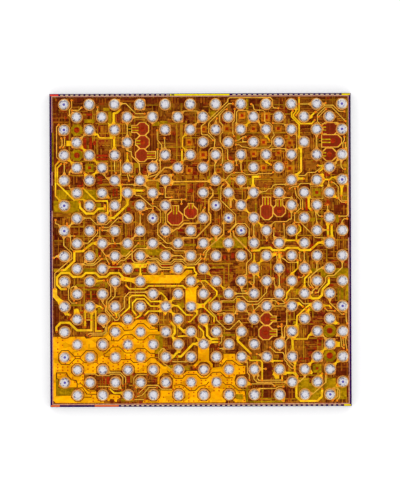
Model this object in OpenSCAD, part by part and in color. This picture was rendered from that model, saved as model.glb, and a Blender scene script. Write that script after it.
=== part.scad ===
// Wafer-level chip-scale ball grid package, lying on its back with the solder balls up.
// Origin at the centre of the back face, +Z towards the balls, +Y along the longer side.

/* [Ball grid] */
// Distance between diagonal neighbours
ball_pitch = 0.40; // [0.36:0.01:0.5]
// Diameter of a solder ball
ball_d = 0.25; // [0.24:0.005:0.27]
// Height of the ball tops above the redistribution copper
ball_standoff = 0.19; // [0.17:0.005:0.21]
// Columns of the staggered grid, both sub-grids counted
columns = 23; // [5:2:23]
// Rows of the staggered grid, both sub-grids counted
rows = 24; // [4:2:24]

/* [Die] */
// From the outer ball centres to the left edge
margin_left = 0.33; // [0.3:0.01:0.6]
// From the outer ball centres to the right edge
margin_right = 0.20; // [0.18:0.01:0.6]
// From the outer ball centres to the upper edge
margin_top = 0.245; // [0.22:0.005:0.6]
// From the outer ball centres to the lower edge
margin_bottom = 0.27; // [0.25:0.01:0.6]
// Back-side protection film
film_thickness = 0.025; // [0.02:0.005:0.06]
// Silicon between the film and the circuit
silicon_thickness = 0.30; // [0.15:0.01:0.6]
// Wiring stack of the circuit
stack_thickness = 0.012; // [0.008:0.001:0.02]
// Depth of the flush metal shapes in the face of the stack
inlay_depth = 0.004; // [0.002:0.001:0.006]
// Width of the seal ring
seal_w = 0.02; // [0.012:0.002:0.028]

/* [Redistribution copper] */
// Thickness of traces, pads and supply fields
copper_thickness = 0.008; // [0.005:0.001:0.012]
// Copper pad under each ball
pad_d = 0.272; // [0.26:0.002:0.29]
// Under-bump pad that carries the ball
ubm_d = 0.215; // [0.2:0.005:0.23]
// Height of the under-bump pad
ubm_thickness = 0.011; // [0.008:0.001:0.015]
// Signal traces
fine_trace = 0.023; // [0.02:0.001:0.03]
// Broader signal traces
medium_trace = 0.035; // [0.032:0.001:0.042]
// Supply traces
wide_trace = 0.051; // [0.045:0.001:0.06]
// Short supply trunks
trunk_trace = 0.098; // [0.08:0.002:0.11]
// Gap between two nets inside a ground field
net_gap = 0.019; // [0.014:0.001:0.024]
// Cap that marks the via at the end of a route
via_d = 0.044; // [0.036:0.002:0.05]
// Cap of a via that stitches a field to the stack
stitch_d = 0.034; // [0.026:0.002:0.04]
// Height of the caps
via_cap = 0.002; // [0.001:0.0005:0.004]

/* [Hidden] */
step = ball_pitch / sqrt(2);
die_w = margin_left + (columns - 1) * step + margin_right;
die_l = margin_top + (rows - 1) * step + margin_bottom;
z_silicon = film_thickness;
z_stack = z_silicon + silicon_thickness;
z_copper = z_stack + stack_thickness;
z_pads = z_copper + copper_thickness;
z_balls = z_pads + ubm_thickness;
z_top = z_pads + ball_standoff;
eps = 0.001;

// Signal traces in four bands from the top, and ball rows, one node each
SIGNALS = [for (k = [0:3]) str("signal_traces_", chr(97 + k))];
ROWS = [for (j = [0:rows - 1]) str("solder_balls_row_", chr(97 + j))];

// Sites left without a ball, as [column, row]
EMPTY = [[6, 2], [3, 3], [7, 3], [9, 3], [21, 3], [6, 4], [19, 5], [10, 6], [16, 6], [9, 7], [10, 8], [16, 8], [22, 8],
  [9, 9], [17, 9], [13, 13], [8, 14], [5, 15], [17, 17], [2, 18], [16, 18], [19, 19], [16, 22]];

// Site test and position on the die; columns count to the right, rows count down
function is_site(p) = p.x == floor(p.x) && p.y == floor(p.y) && (p.x + p.y) % 2 == 0
  && len([for (e = EMPTY) if (e == p) e]) == 0;
function place(p) = [margin_left - die_w / 2 + p.x * step, die_l / 2 - margin_top - p.y * step];
SITES = [for (j = [0:rows - 1]) for (i = [j % 2:2:columns - 1]) if (is_site([i, j])) [i, j]];

// Copper routes in grid steps; an end on a site joins that ball pad, any other end drops into a via
FINE = [
  // Rows A to F
  [[0.6, -0.35], [0.6, 0.2], [0.43, 0.4], [0.43, 0.85], [1, 1]],
  [[1.38, 0.22], [1.15, 0.45], [0.62, 0.45]],
  [[2.65, 0.2], [2.67, 0.6], [3, 1]],
  [[4, 0], [4.6, -0.08], [4.9, -0.08], [5.68, 0.72], [6.38, 0.72]],
  [[-0.43, 1.58], [-0.6, 1.75], [-0.6, 4.15], [-0.25, 4.5], [0.18, 4.58]],
  [[-0.22, 2.66], [-0.17, 2.8], [-0.17, 3.2], [-0.33, 3.38]],
  [[0.03, 2.6], [0.03, 3.22], [-0.1, 3.38]],
  [[1, 3], [2, 2]],
  [[5, 1], [7, 1]],
  [[5, 1], [5, 3]],
  [[5, 3], [5, 3.5], [5.12, 3.7], [5.3, 3.72], [5.35, 4.08], [5.95, 4.7], [6, 6]],
  [[7.37, 2.05], [7.38, 2.8], [7.72, 3.2], [7.75, 3.5], [8, 4]],
  [[7.95, 2.65], [8, 4]],
  [[7.4, 3.55], [7.4, 4.3], [7, 5]],
  [[8, 4], [7.6, 4.4], [7.6, 5.25], [7.3, 5.55], [6.7, 5.75], [6, 6]],
  [[10, 4], [9.5, 4.38], [9.32, 4.55]],
  [[9, 1], [9.5, 0.52], [10.5, 0.52], [11, 1]],
  [[11, 1], [10, 2]],
  [[16.98, 0.33], [16.62, 0.3], [16.53, 0.18], [16.53, -0.32], [16.35, -0.52], [13.12, -0.52], [12.98, -0.4],
    [12.97, -0.22], [11.1, 1.55], [10.88, 1.7], [10.88, 2.32], [10.98, 2.42], [11.38, 2.42], [11.8, 2.85]],
  [[13.38, -0.05], [13.05, -0.05], [11.5, 1.45], [11.45, 1.6], [11.45, 2.25], [11.95, 2.78], [11.9, 3.35], [12, 4]],
  [[12.9, 0.4], [12.72, 0.43], [12.33, 0.85], [12.33, 1.4], [12.57, 1.66], [12.57, 2.2], [12.36, 2.42],
    [12.36, 2.95], [12.7, 3.5], [12.95, 3.55], [12.95, 4.35], [13.05, 4.45], [13.4, 4.55]],
  [[12.1, 1.12], [12.02, 1.3], [12, 2]],
  [[11.4, 4.55], [11.47, 4.4], [11.47, 3.62], [11.62, 3.45], [12.38, 3.43], [12.54, 3.6], [12.54, 4.6], [12.42, 4.8]],
  [[12, 4], [12, 4.6], [11.93, 4.8], [11.93, 5.3], [12, 6]],
  [[13.52, 0.38], [13.5, 1.28], [13.37, 1.45], [13.37, 2.3], [13.45, 2.53]],
  [[14, 2], [13.67, 1.55], [13.67, 0.62], [13.78, 0.51], [14.5, 0.51], [15, 1]],
  [[15, 1], [15.42, 1.4], [15.45, 1.55], [16, 2]],
  [[14.83, 0], [14.97, 0.08], [15.05, 0.4], [15.15, 0.47], [15.75, 0.48], [15.9, 0.62], [15.9, 1.38], [16, 1.47],
    [16.3, 1.5], [16.5, 1.72], [16.5, 2.1], [16.65, 2.45], [16.45, 2.75], [16.45, 3.2], [16.2, 3.46], [14.7, 3.5],
    [14.4, 3.4], [14.08, 3.38], [13.9, 3.22], [13.6, 3.2]],
  [[14.38, 2.58], [14.15, 2.6], [13.85, 2.83], [13.6, 2.88]],
  [[14.15, 2.7], [14.15, 2.97], [14.55, 2.97]],
  [[16.55, 1.5], [17.4, 1.57], [18, 2]],
  [[16, 4], [16.45, 3.53], [17.5, 3.53], [18, 4]],
  [[14, 4], [13.62, 4.42], [13.66, 4.82]],
  [[18.62, 0], [20, 0]],
  [[18, 2], [18.42, 2.45], [18.42, 3.55], [18, 4]],
  [[20, 0], [20.45, 0.02], [20.72, -0.08]],
  [[19.92, 0.65], [20.7, 0.1], [21.3, 0.1], [21.78, 0.58], [22.2, 0.6]],
  [[20.45, 2.35], [20.4, 1.72], [20.08, 1.4], [20.08, 0.85], [20.7, 0.25], [21.2, 0.25], [21.95, 1.02], [22.3, 1.38]],
  [[20.75, 0.42], [20.15, 1.02]],
  [[20.4, 1.72], [20.65, 1.48], [21.6, 1.48], [22, 2]],
  [[20, 2], [20, 4]],
  [[22.2, 2.6], [22.2, 2.85], [22.08, 3.1], [22.08, 3.55]],
  [[22.27, 3.1], [22.28, 3.6], [22, 4]],
  [[22, 4], [21.4, 4.75], [21, 5]],
  [[22, 4], [21.93, 4.7], [21.93, 4.95], [22.1, 5.17], [22.25, 5.18]],
  // Rows F to L
  [[0, 4.7], [0, 6]],
  [[0.4, 5.5], [0.4, 5.33], [1, 5]],
  [[3, 5], [3.15, 5.5], [3.33, 5.82], [4, 6]],
  [[3.98, 4.4], [3.98, 5.28], [4.1, 5.42]],
  [[4.45, 4.42], [4.48, 5.5], [4, 6]],
  [[0.4, 6.42], [0.42, 6.6], [1, 7]],
  [[4, 8], [3.67, 8.35], [3.67, 8.78]],
  [[1, 9], [2.05, 8.98], [2.55, 9.5], [3.33, 9.5], [3.67, 9.17]],
  [[5, 9], [4.25, 8.97], [3.52, 9.72], [3.05, 9.72]],
  [[4, 10], [3, 9.95]],
  [[2.8, 9.77], [2.8, 10.5], [3, 11]],
  [[2.62, 9.95], [2.63, 10.18], [1.85, 10.97], [1, 11]],
  [[3.85, 10.58], [3.87, 10.8], [4, 11]],
  [[3, 11], [5, 11]],
  [[-0.7, 9.12], [-0.7, 9.4], [-0.5, 9.47], [0, 10]],
  [[0, 10], [1, 9]],
  [[0.2, 9.4], [0.2, 9.55]],
  [[0, 10], [0.42, 10.38], [0.78, 10.4]],
  [[5.08, 5.35], [5.18, 5.65], [5.42, 5.7]],
  [[4.95, 5.4], [5.13, 6.03]],
  [[6, 6], [6.4, 5.71], [6.62, 5.71], [7, 5]],
  [[4.6, 6.33], [5.6, 6.35], [6, 6]],
  [[6, 6], [7, 7]],
  [[5, 7], [5.45, 7], [5.7, 7.2], [6, 7.22], [6.9, 8.05], [7.2, 8.06], [7.6, 8.42], [7.62, 9.3], [7.4, 9.52],
    [7.38, 10.3], [8.1, 11], [9, 11]],
  [[7, 7], [7.78, 7.1]],
  [[7, 7], [7, 7.85]],
  [[7, 8.22], [7, 9]],
  [[6, 8], [6.5, 8.24], [7, 8.22]],
  [[6, 8], [6, 10]],
  [[6, 8.62], [6.2, 8.7]],
  [[6, 10], [5, 11]],
  [[8, 8], [8, 10]],
  [[8, 6], [8, 7.37], [8.5, 7.35]],
  [[8, 8], [8.45, 7.54], [9.6, 7.52]],
  [[9.28, 7.54], [9.28, 7.87]],
  [[11, 9], [11, 8.45], [11.12, 8.18]],
  [[13.45, 5.43], [14.2, 5.43], [14.37, 5.57], [15.25, 5.58], [15.37, 5.5], [16.4, 5.5], [16.55, 5.4]],
  [[12, 6], [12.83, 5.95], [13, 5.7], [13.18, 5.55], [13.45, 5.43]],
  [[14, 6], [13.98, 6.52], [14.08, 6.64], [14.6, 6.64], [15, 7]],
  [[15, 7], [15.95, 6.92], [16.15, 6.72], [16.4, 6.7], [16.55, 6.45], [16.7, 6.37], [17.55, 6.37], [18, 6]],
  [[12.6, 6.35], [12.42, 6.52], [12.38, 7.6], [13.57, 8.75], [13.57, 9.48], [13, 10.1]],
  [[15, 9], [15, 11]],
  [[13.12, 10.05], [13.7, 9.45], [14.3, 9.45], [14.63, 9.85], [14.63, 10.55], [15, 11]],
  [[13.12, 10.05], [13.18, 10.3], [13, 11]],
  [[12, 10], [12, 10.75]],
  [[11, 11], [11.65, 10.65]],
  [[16, 10], [16.02, 10.8]],
  [[16, 10], [16.48, 9.48], [16.66, 9.32], [17.6, 9.31], [17.8, 9.14], [17.98, 9.1], [18, 8]],
  [[16.6, 9.85], [16.57, 10.45], [17, 11]],
  [[21, 5], [20.35, 5.05], [19.87, 5.42], [19.28, 5.43], [19.05, 5.67], [18.4, 5.67], [18, 6]],
  [[20, 6], [19.6, 6.3], [18.72, 6.3], [18.5, 6.52], [18.1, 6.55], [17.85, 6.7]],
  [[18.27, 6.7], [18.37, 7.25], [18.7, 7.6], [18.72, 8.25], [18.27, 8.65]],
  [[18.25, 8.65], [18.23, 9.35], [18, 10]],
  [[18.25, 9.37], [18.7, 9.38], [19.87, 10.58], [20.5, 10.6], [21, 11]],
  [[18.5, 6.55], [18.53, 7.2], [18.87, 7.6], [18.87, 8.3]],
  [[17.38, 9.5], [17.43, 10.5], [17, 11]],
  [[17, 7], [17.35, 7.4], [18, 7.43], [18, 8]],
  [[20, 8], [20.05, 8.7], [20.17, 8.87], [20.4, 8.9]],
  [[20, 8], [19.92, 8.75], [20, 9.4], [20, 10]],
  [[20, 10], [20.88, 9.98]],
  [[20.95, 6.05], [20.95, 6.5], [21, 7]],
  [[21.18, 6.2], [21.4, 6.27], [21.7, 6.57], [21.7, 7.5], [21.97, 7.78], [22.3, 7.8]],
  [[22, 6], [22.45, 6.4], [22.47, 8.75], [22.35, 8.9], [21.78, 8.9]],
  [[20.85, 8], [20.85, 8.37], [21, 9]],
  [[22.4, 9.1], [22.17, 9.1], [22, 9.27], [22, 10]],
  // Rows L to R
  [[0, 10], [-0.06, 10.55], [-0.06, 11.15], [0.55, 11.72], [0.58, 12.2], [0.2, 12.5], [-0.78, 13.35], [-0.78, 14.6]],
  [[0, 10], [0.47, 10.5], [0.48, 11.35], [0.75, 11.62]],
  [[0, 12], [-0.6, 12], [-0.85, 12.12]],
  [[3, 11], [3, 11.63], [3.28, 12], [3.28, 12.15], [3.52, 12.6]],
  [[3.3, 11.97], [4, 12]],
  [[1, 13], [1.5, 12.6], [1.65, 12.7], [2.35, 12.7], [2.95, 12.22]],
  [[2, 12], [1.65, 12.42], [1.78, 12.58], [2.3, 12.57], [2.8, 12]],
  [[4.18, 12.62], [4.45, 12.35], [4.72, 12.34], [5.72, 11.42], [6.5, 11.42], [7, 11]],
  [[4, 12], [4.85, 12], [5.85, 10.98]],
  [[5.35, 11.55], [5.35, 12.28], [5.55, 12.5], [6.28, 12.5], [6.5, 12.29], [7.25, 12.3], [7.6, 12.65], [8.5, 12.65],
    [8.75, 12.42], [9.3, 12.42], [9.6, 12.72], [10.4, 12.7], [10.85, 12.22]],
  [[6, 12], [6.6, 12], [6.9, 12.18], [7.32, 12.18], [7.72, 12.52], [8.42, 12.52], [8.68, 12.28], [9.35, 12.28],
    [9.7, 12.58], [10.32, 12.58], [10.77, 12.1], [10.77, 11.88]],
  [[8, 12], [8.55, 11.98], [9.25, 11.98], [9.55, 12.28], [10, 12]],
  [[6.6, 12.48], [7.3, 12.48], [7.7, 12.9], [8.45, 12.9], [9, 13]],
  [[7, 13], [7.65, 13.07], [8.4, 13.07], [9, 13]],
  [[7, 11], [7.65, 11], [8, 11.33], [8.4, 11.35], [8.7, 11.6], [9.45, 11.6], [10, 12]],
  [[11, 11], [10.5, 11.35]],
  [[11.3, 11.45], [11.02, 11.75], [11, 11.9]],
  [[11.52, 11.4], [11.22, 11.75], [11.2, 12], [11.08, 12.25]],
  [[3.4, 13.9], [3.42, 14.12], [3.65, 14.42], [3.65, 15.15], [3.33, 15.5], [3.33, 16.32], [3.98, 17.08], [4.18, 17.08],
    [4.32, 16.9], [4.27, 16.5], [4.72, 16.08], [4.72, 15.28], [5.12, 14.87], [6.45, 14.87], [7, 15]],
  [[4, 14], [4, 14.6], [3.98, 15.18], [3.5, 15.62], [3.48, 16.2], [3.87, 16.67]],
  [[1, 15], [0.9, 14.55], [0.72, 14.38], [0.5, 14.5], [0.48, 15.22], [0.73, 15.52]],
  [[0, 14], [0.3, 14.42], [0.3, 15.42], [0.55, 15.72], [0.92, 15.7]],
  [[3, 15], [3, 15.7], [3.22, 15.97]],
  [[3, 13], [3.5, 12.87], [4.5, 12.87], [5, 13]],
  [[10.75, 13.97], [11, 14.35], [11, 15]],
  [[14.4, 11.42], [14.78, 11.83], [14.8, 12.2], [14.4, 12.6], [14.42, 13.4], [14, 14]],
  [[14, 14], [14.02, 14.8], [14.33, 14.8]],
  [[13, 15], [13.6, 15], [14.5, 14.98], [15, 15]],
  [[16, 14], [16, 14.9], [15.3, 15.62], [14.5, 15.63], [14.1, 15.22], [13.67, 15.22], [13.35, 15.57], [12.5, 15.57],
    [12, 16]],
  [[14, 16], [14.55, 15.87], [15.3, 15.85], [15.78, 15.4], [17.05, 15.4], [17.4, 15.7], [17.6, 15.65], [17.82, 15.42],
    [18.5, 15.4], [18.92, 15.83], [19.4, 15.83], [20, 16]],
  [[16, 16], [16.38, 15.57], [16.68, 15.58], [16.88, 15.75]],
  [[16.95, 15.83], [17.35, 15.82], [17.5, 15.72]],
  [[16, 16], [18, 16]],
  [[14.88, 15.9], [14.97, 16.35], [15, 17]],
  [[16, 16], [15.4, 15.97], [15, 16.35]],
  [[14, 16], [15, 17]],
  [[14, 16], [13.62, 16.38], [13.45, 16.58], [13.65, 16.6]],
  [[12.15, 16.6], [12.6, 16.57], [13, 17]],
  [[11.45, 15.72], [11.42, 16.22], [12, 16.85], [12.05, 17.12], [12.8, 17.83], [13.05, 17.85], [13.8, 17.13],
    [14, 17.42], [14, 18]],
  [[15, 13], [15, 14.1], [14.95, 14.35], [15, 15]],
  [[14.65, 14.1], [14.78, 14.27], [14.95, 14.35]],
  [[16, 14], [16.58, 13.8], [16.62, 14.3], [17, 15]],
  [[17, 13], [17, 15]],
  [[16.78, 11.78], [16.84, 12.3], [17, 13]], [[16.97, 11.72], [16.98, 12.3], [17, 13]], [[17.14, 11.78], [17.1, 12.3], [17, 13]],
  [[17.2, 12.05], [17.22, 12.2], [17.42, 12.3], [17.72, 12.55], [18.38, 12.55], [18.45, 12.37]],
  [[18.6, 11.77], [18.62, 12.2], [18.7, 12.38]],
  [[19, 11.72], [19, 13]],
  [[18.55, 13.73], [18.8, 13.75], [18.95, 13.58]],
  [[21, 13], [20.4, 12.97], [20.1, 13.12], [19.35, 13.75], [19.28, 14.25], [19.47, 14.52]],
  [[20, 12], [19.98, 13.2], [19.5, 13.65], [19.45, 14.2], [19.67, 14.55]],
  [[22, 12], [22, 12.95], [21.32, 13.6], [20.85, 13.6], [20.68, 13.75], [20.68, 14.1], [20.17, 14.68], [20.1, 14.92],
    [19.88, 14.95]],
  [[20, 14], [19.97, 14.5], [19.65, 14.8], [19.6, 14.95], [19, 15]],
  [[21, 15], [21, 15.75], [21.95, 16.68], [22.1, 16.65]],
  [[20.63, 16.2], [20.82, 16.4], [21.4, 16.4]],
  [[22, 16], [22.28, 16.5], [22.3, 17.2], [22.37, 17.4]],
  [[18, 16], [17.6, 16.42], [17.58, 17.52], [17.42, 17.7], [17.42, 18.45], [17, 19]],
  // Rows R to X
  [[3, 17], [3.05, 17.42], [3.22, 17.65], [3.2, 17.97], [3.05, 18.1], [1.98, 18.1], [1.75, 18.25]],
  [[3.22, 15.97], [3.22, 16.4], [3.58, 16.78], [3.58, 17.1], [3.33, 17.4], [3.32, 18], [3.1, 18.24], [2.15, 18.24],
    [1.98, 18.36]],
  [[1.62, 17.05], [2.1, 17.05]],
  [[8, 20], [7.85, 19.32], [7.7, 19.34], [7.43, 19.65], [7.43, 20.1], [7.9, 20.58], [8.08, 20.7], [8.45, 21], [9, 21]],
  [[8.42, 20.33], [8.6, 20.38], [9.55, 20.38], [10, 20]],
  [[1.5, 21.33], [2.4, 21.33], [2.6, 21.47], [3.5, 21.47], [3.65, 21.35], [4.32, 21.35], [4.58, 21.62], [4.58, 22.28]],
  [[3, 21], [3.5, 21.2], [4.38, 21.2], [4.8, 21.62], [4.8, 22.15]],
  [[2.55, 22.33], [3.52, 22.33], [3.85, 22.55], [4.25, 22.55]],
  [[4, 22], [4.5, 22.6]],
  [[6.55, 21.4], [5.72, 21.4], [5.45, 21.67], [5.45, 22.25]],
  [[8.55, 22.57], [7.65, 22.55], [7.35, 22.25], [6.5, 22.25], [5.8, 22.9]],
  [[7.28, 22.42], [6.65, 22.42], [6.1, 23.05], [5.62, 23.15]],
  [[5.45, 23.37], [6.32, 23.37]],
  [[6, 22], [5.55, 22.5]],
  [[12, 18], [12.42, 18.35], [12.42, 18.8], [12.2, 19.05]],
  [[12.17, 19.35], [12.6, 19.33], [13, 19]],
  [[14, 20], [14.45, 20.5], [14.45, 21.25], [14.6, 21.45], [14.6, 21.85]],
  [[15, 21], [15.45, 20.98], [15.9, 20.97]],
  [[15.2, 20.45], [15, 21]],
  [[15, 21], [15.25, 21.4], [15.25, 21.75], [15.37, 21.88], [17.2, 21.87]],
  [[15, 21], [14.97, 21.45], [14.97, 21.78], [15.22, 22.04], [17.4, 22.03], [18, 22]],
  [[14.7, 22.2], [14.87, 22.16], [16.4, 22.16], [16.6, 22.33]],
  [[15, 23], [15.45, 22.53], [16.7, 22.53], [16.9, 22.4], [17.3, 22.38]],
  [[16.27, 19.27], [16.7, 19.67], [17.25, 19.68], [17.37, 19.85], [17.37, 20.22], [17.6, 20.48], [17.6, 20.6],
    [17.97, 20.95], [18.15, 20.93]],
  [[16, 20], [15.2, 19.8]],
  [[17.17, 17.45], [17.17, 17.62], [17.22, 18.42], [17, 19]],
  [[16.9, 17.62], [17.17, 17.62]],
  [[18, 18], [17.72, 18.5], [17.5, 18.75], [17.48, 20.17], [18.17, 20.83], [18.2, 21.2]],
  [[20, 18], [20.5, 18.4], [21, 19]],
  [[19, 21], [19, 21.5], [18.95, 21.65], [18.65, 21.95], [18, 22]],
  [[19, 23], [19.68, 22.93], [20.67, 22.05], [20.67, 21.42]],
  [[21, 23], [21.3, 22.53], [21.6, 22.53], [21.75, 22.7], [21.75, 23.22], [21.55, 23.5]],
  [[21.6, 22.3], [21.6, 23.15], [21.2, 23.5]],
  [[22, 18], [21.6, 18.32], [21.83, 18.36], [21.87, 18.6], [21.93, 19.2], [22.1, 19.36]],
  [[22.03, 18.55], [22.1, 19.1]],
  [[22, 18], [22.25, 18.5], [22.25, 18.9], [22.35, 19.5]],
];
MEDIUM = [
  // Rows A to F
  [[1, 3], [2, 4]],
  [[2, 2], [2.42, 2.32], [2.65, 2.35], [2.78, 2.62], [3.9, 2.65]],
  [[2, 4], [3, 5]],
  [[0, 4], [1, 5]],
  [[5, 3.85], [5, 5]],
  [[9, 5], [7.95, 5], [7.1, 5.9]],
  [[6, 6], [8, 6]],
  [[10, 2], [9.38, 2.62], [9.36, 3.35], [10, 4]],
  [[9.33, 3.6], [9.33, 4.55], [9, 5]],
  [[15, 1], [14.62, 1.45], [14.45, 1.65], [14, 2]],
  [[16, 2], [16, 2.5], [16.27, 2.88]],
  [[14, 4], [14, 5.1], [14.07, 5.33]],
  [[16, 4], [16.03, 4.6], [16.38, 4.8]],
  [[18, 0], [18.37, 0.35], [18.37, 0.6], [18.18, 0.82], [18.18, 0.98], [18.75, 1.55], [19.62, 1.56], [19.85, 1.28]],
  [[19, 1], [19.5, 1.02], [19.92, 0.62]],
  [[18.62, -0.5], [18.62, 0.55], [18.38, 0.88]],
  [[18.12, 0.55], [18.03, 0.7], [18.03, 1.02], [18.62, 1.62], [18.62, 2.6], [19, 3]],
  [[20.07, 4.87], [21, 5]],
  [[20.2, 5.35], [20.6, 5.05]],
  // Rows F to L
  [[-0.25, 4.68], [-0.55, 5], [-0.55, 6.23], [0.77, 7.55], [1.5, 7.5], [2, 8]],
  [[-0.43, 4.5], [-0.7, 4.8], [-0.7, 7.22], [0, 8]],
  [[1.6, 5.42], [2, 6]],
  [[3, 5], [2.36, 5.5], [2, 6]],
  [[4, 6], [4.48, 6.45], [4.48, 7.5], [4, 8]],
  [[1.48, 6.6], [2.5, 7.63], [3.38, 7.63], [3.43, 7.8], [3.43, 8.55], [3, 9]],
  [[3, 7], [3.52, 7.37]],
  [[8.35, 6.12], [11.4, 6.1], [12, 6]],
  [[8, 10], [8.65, 10], [8.9, 9.83], [9.05, 9.83], [9.47, 9.43], [10.45, 9.43], [11, 9]],
  [[12, 6], [12.7, 5.98], [13, 6.35], [13, 7]],
  [[13.25, 5.88], [14, 6]],
  [[11.55, 6.6], [11.77, 6.85], [11.77, 7.2], [11.45, 7.57], [11.43, 8.53], [11.57, 8.75], [11.57, 9.37], [10.42, 10.57],
    [9.45, 10.57], [9, 11]],
  [[13, 7], [14, 8], [15, 7]],
  [[14, 8], [15, 9], [16, 10]],
  [[13, 9], [12.62, 9.38], [12.6, 10.3], [11.3, 11.45]],
  [[13.38, 10.08], [13.42, 10.42], [14.4, 11.42]],
  [[18.55, 9.55], [18.7, 9.77], [18.7, 10.05], [18.38, 10.36], [18.36, 10.82], [19, 11]],
  [[17, 11], [17.45, 10.8], [18.36, 10.8]],
  [[20.57, 5.97], [21, 6], [21.2, 5.82], [21.47, 5.83], [22, 6]],
  [[21, 7], [21.6, 7.45]],
  // Rows L to R
  [[2, 14], [2.5, 13.97], [3.1, 13.93]],
  [[4, 12], [3.88, 12.6]],
  [[4, 16], [4.07, 16.5], [4.1, 16.85]],
  [[6, 14], [6, 12.8]],
  [[6.35, 12.75], [6.65, 12.48], [7, 13]],
  [[9, 13], [8.4, 13.28]],
  [[9, 13], [9.4, 12.92], [10.25, 12.92], [10.3, 13.2], [10.47, 13.42], [10, 14]],
  [[10, 14], [11.15, 13.97], [11.45, 14.25]],
  [[10, 16], [10.47, 16.42], [10.48, 16.62], [9.95, 17.2], [9.7, 17.25]],
  [[8, 16], [7.95, 16.5], [7.88, 16.65]],
  [[8, 16], [9, 17]],
  [[8, 16], [8.5, 15.93], [8.95, 15.95], [9.62, 16.67], [10.08, 16.7]],
  [[8, 16], [8.03, 15.4], [7.97, 15.25], [7.65, 14.93], [7, 15]],
  [[8, 16], [9, 15]],
  [[6, 16], [6, 16.7], [5.6, 16.93]],
  [[2, 16], [2.5, 15.97], [2.8, 15.97], [3, 16.15]],
  [[4.85, 14.32], [5.12, 14.6], [6.35, 14.6], [6.65, 14.37], [9.35, 14.37], [9.65, 14.65]],
  [[4.45, 16.7], [5.12, 16.08], [5.12, 15.32], [5.33, 15.12], [6.3, 15.12], [6.82, 15.6], [7.55, 15.6], [8, 16]],
  [[8, 16], [6.8, 15.97], [6.3, 15.4], [5.7, 15.4], [5.37, 15.72], [5.37, 16.3], [5.65, 16.67]],
  [[8, 16], [7.55, 16.37], [6.65, 16.37], [6.33, 16.68]],
  [[11.45, 14.25], [12.05, 14.82], [12.05, 15.12], [11.45, 15.72]],
  [[15.03, 11.85], [15, 13]],
  [[15, 13], [16, 12]],
  [[16, 12], [16.5, 11.95], [16.8, 11.95]],
  [[16.63, 11.77], [16.83, 11.95]],
  [[17, 11.77], [17, 12.3]],
  [[11, 13], [12, 14], [13, 15]],
  [[15, 13], [15.42, 13.72]],
  [[18.47, 12.4], [18.47, 13], [18, 13.45], [18, 14]],
  [[18, 14], [18, 14.5], [17.6, 14.97], [17.57, 15.35], [17.45, 15.52]],
  [[19, 13], [19.4, 13.25], [19.38, 13.47], [19.02, 13.82], [19, 15]],
  [[20, 16], [19.45, 15.92], [19.2, 16.05], [18.4, 16.8], [18.37, 17.45], [18, 18]],
  [[19.15, 16.33], [19.07, 16.2]],
  [[18, 16], [18.6, 15.8], [18.87, 16.05]],
  [[20, 16], [20.95, 15.97], [21.1, 16.15]],
  [[13, 11], [13, 11.62]],
  [[10.95, 16], [11.85, 16.87], [11.8, 17.33]],
  // Rows R to X
  [[2, 16], [1.62, 16.42], [1.6, 17.62]],
  [[2, 16], [2.45, 16.42], [2.45, 17.93], [2.97, 17.93]],
  [[8.88, 18.4], [9.4, 18.35], [10.3, 18.35], [11, 19]],
  [[10.62, 17.45], [10.6, 17.62], [10.97, 18], [11, 19]],
  [[3.5, 22.48], [3.88, 22.85], [4.45, 22.85], [5, 23]],
  [[14.62, 20.1], [14.66, 20.3], [15.5, 20.3], [15.62, 20.45], [15.62, 21.87]],
  [[16, 20], [16.4, 20.33], [17.2, 20.35]],
  [[17.2, 21.57], [17.2, 21.87]],
  [[17, 23], [17.3, 23.5]],
  [[20, 20], [21, 19]],
  [[20, 20], [19, 21]],
  [[21, 21], [22, 20]],
  [[18.05, 18.62], [19.2, 18.62], [19.33, 18.33], [20, 18]],
  [[18, 20], [18.22, 20.5], [18.2, 21.2], [18.42, 21.55]],
  [[20.37, 21.37], [20, 22]],
  [[21.6, 22.3], [22, 22]],
];
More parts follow.
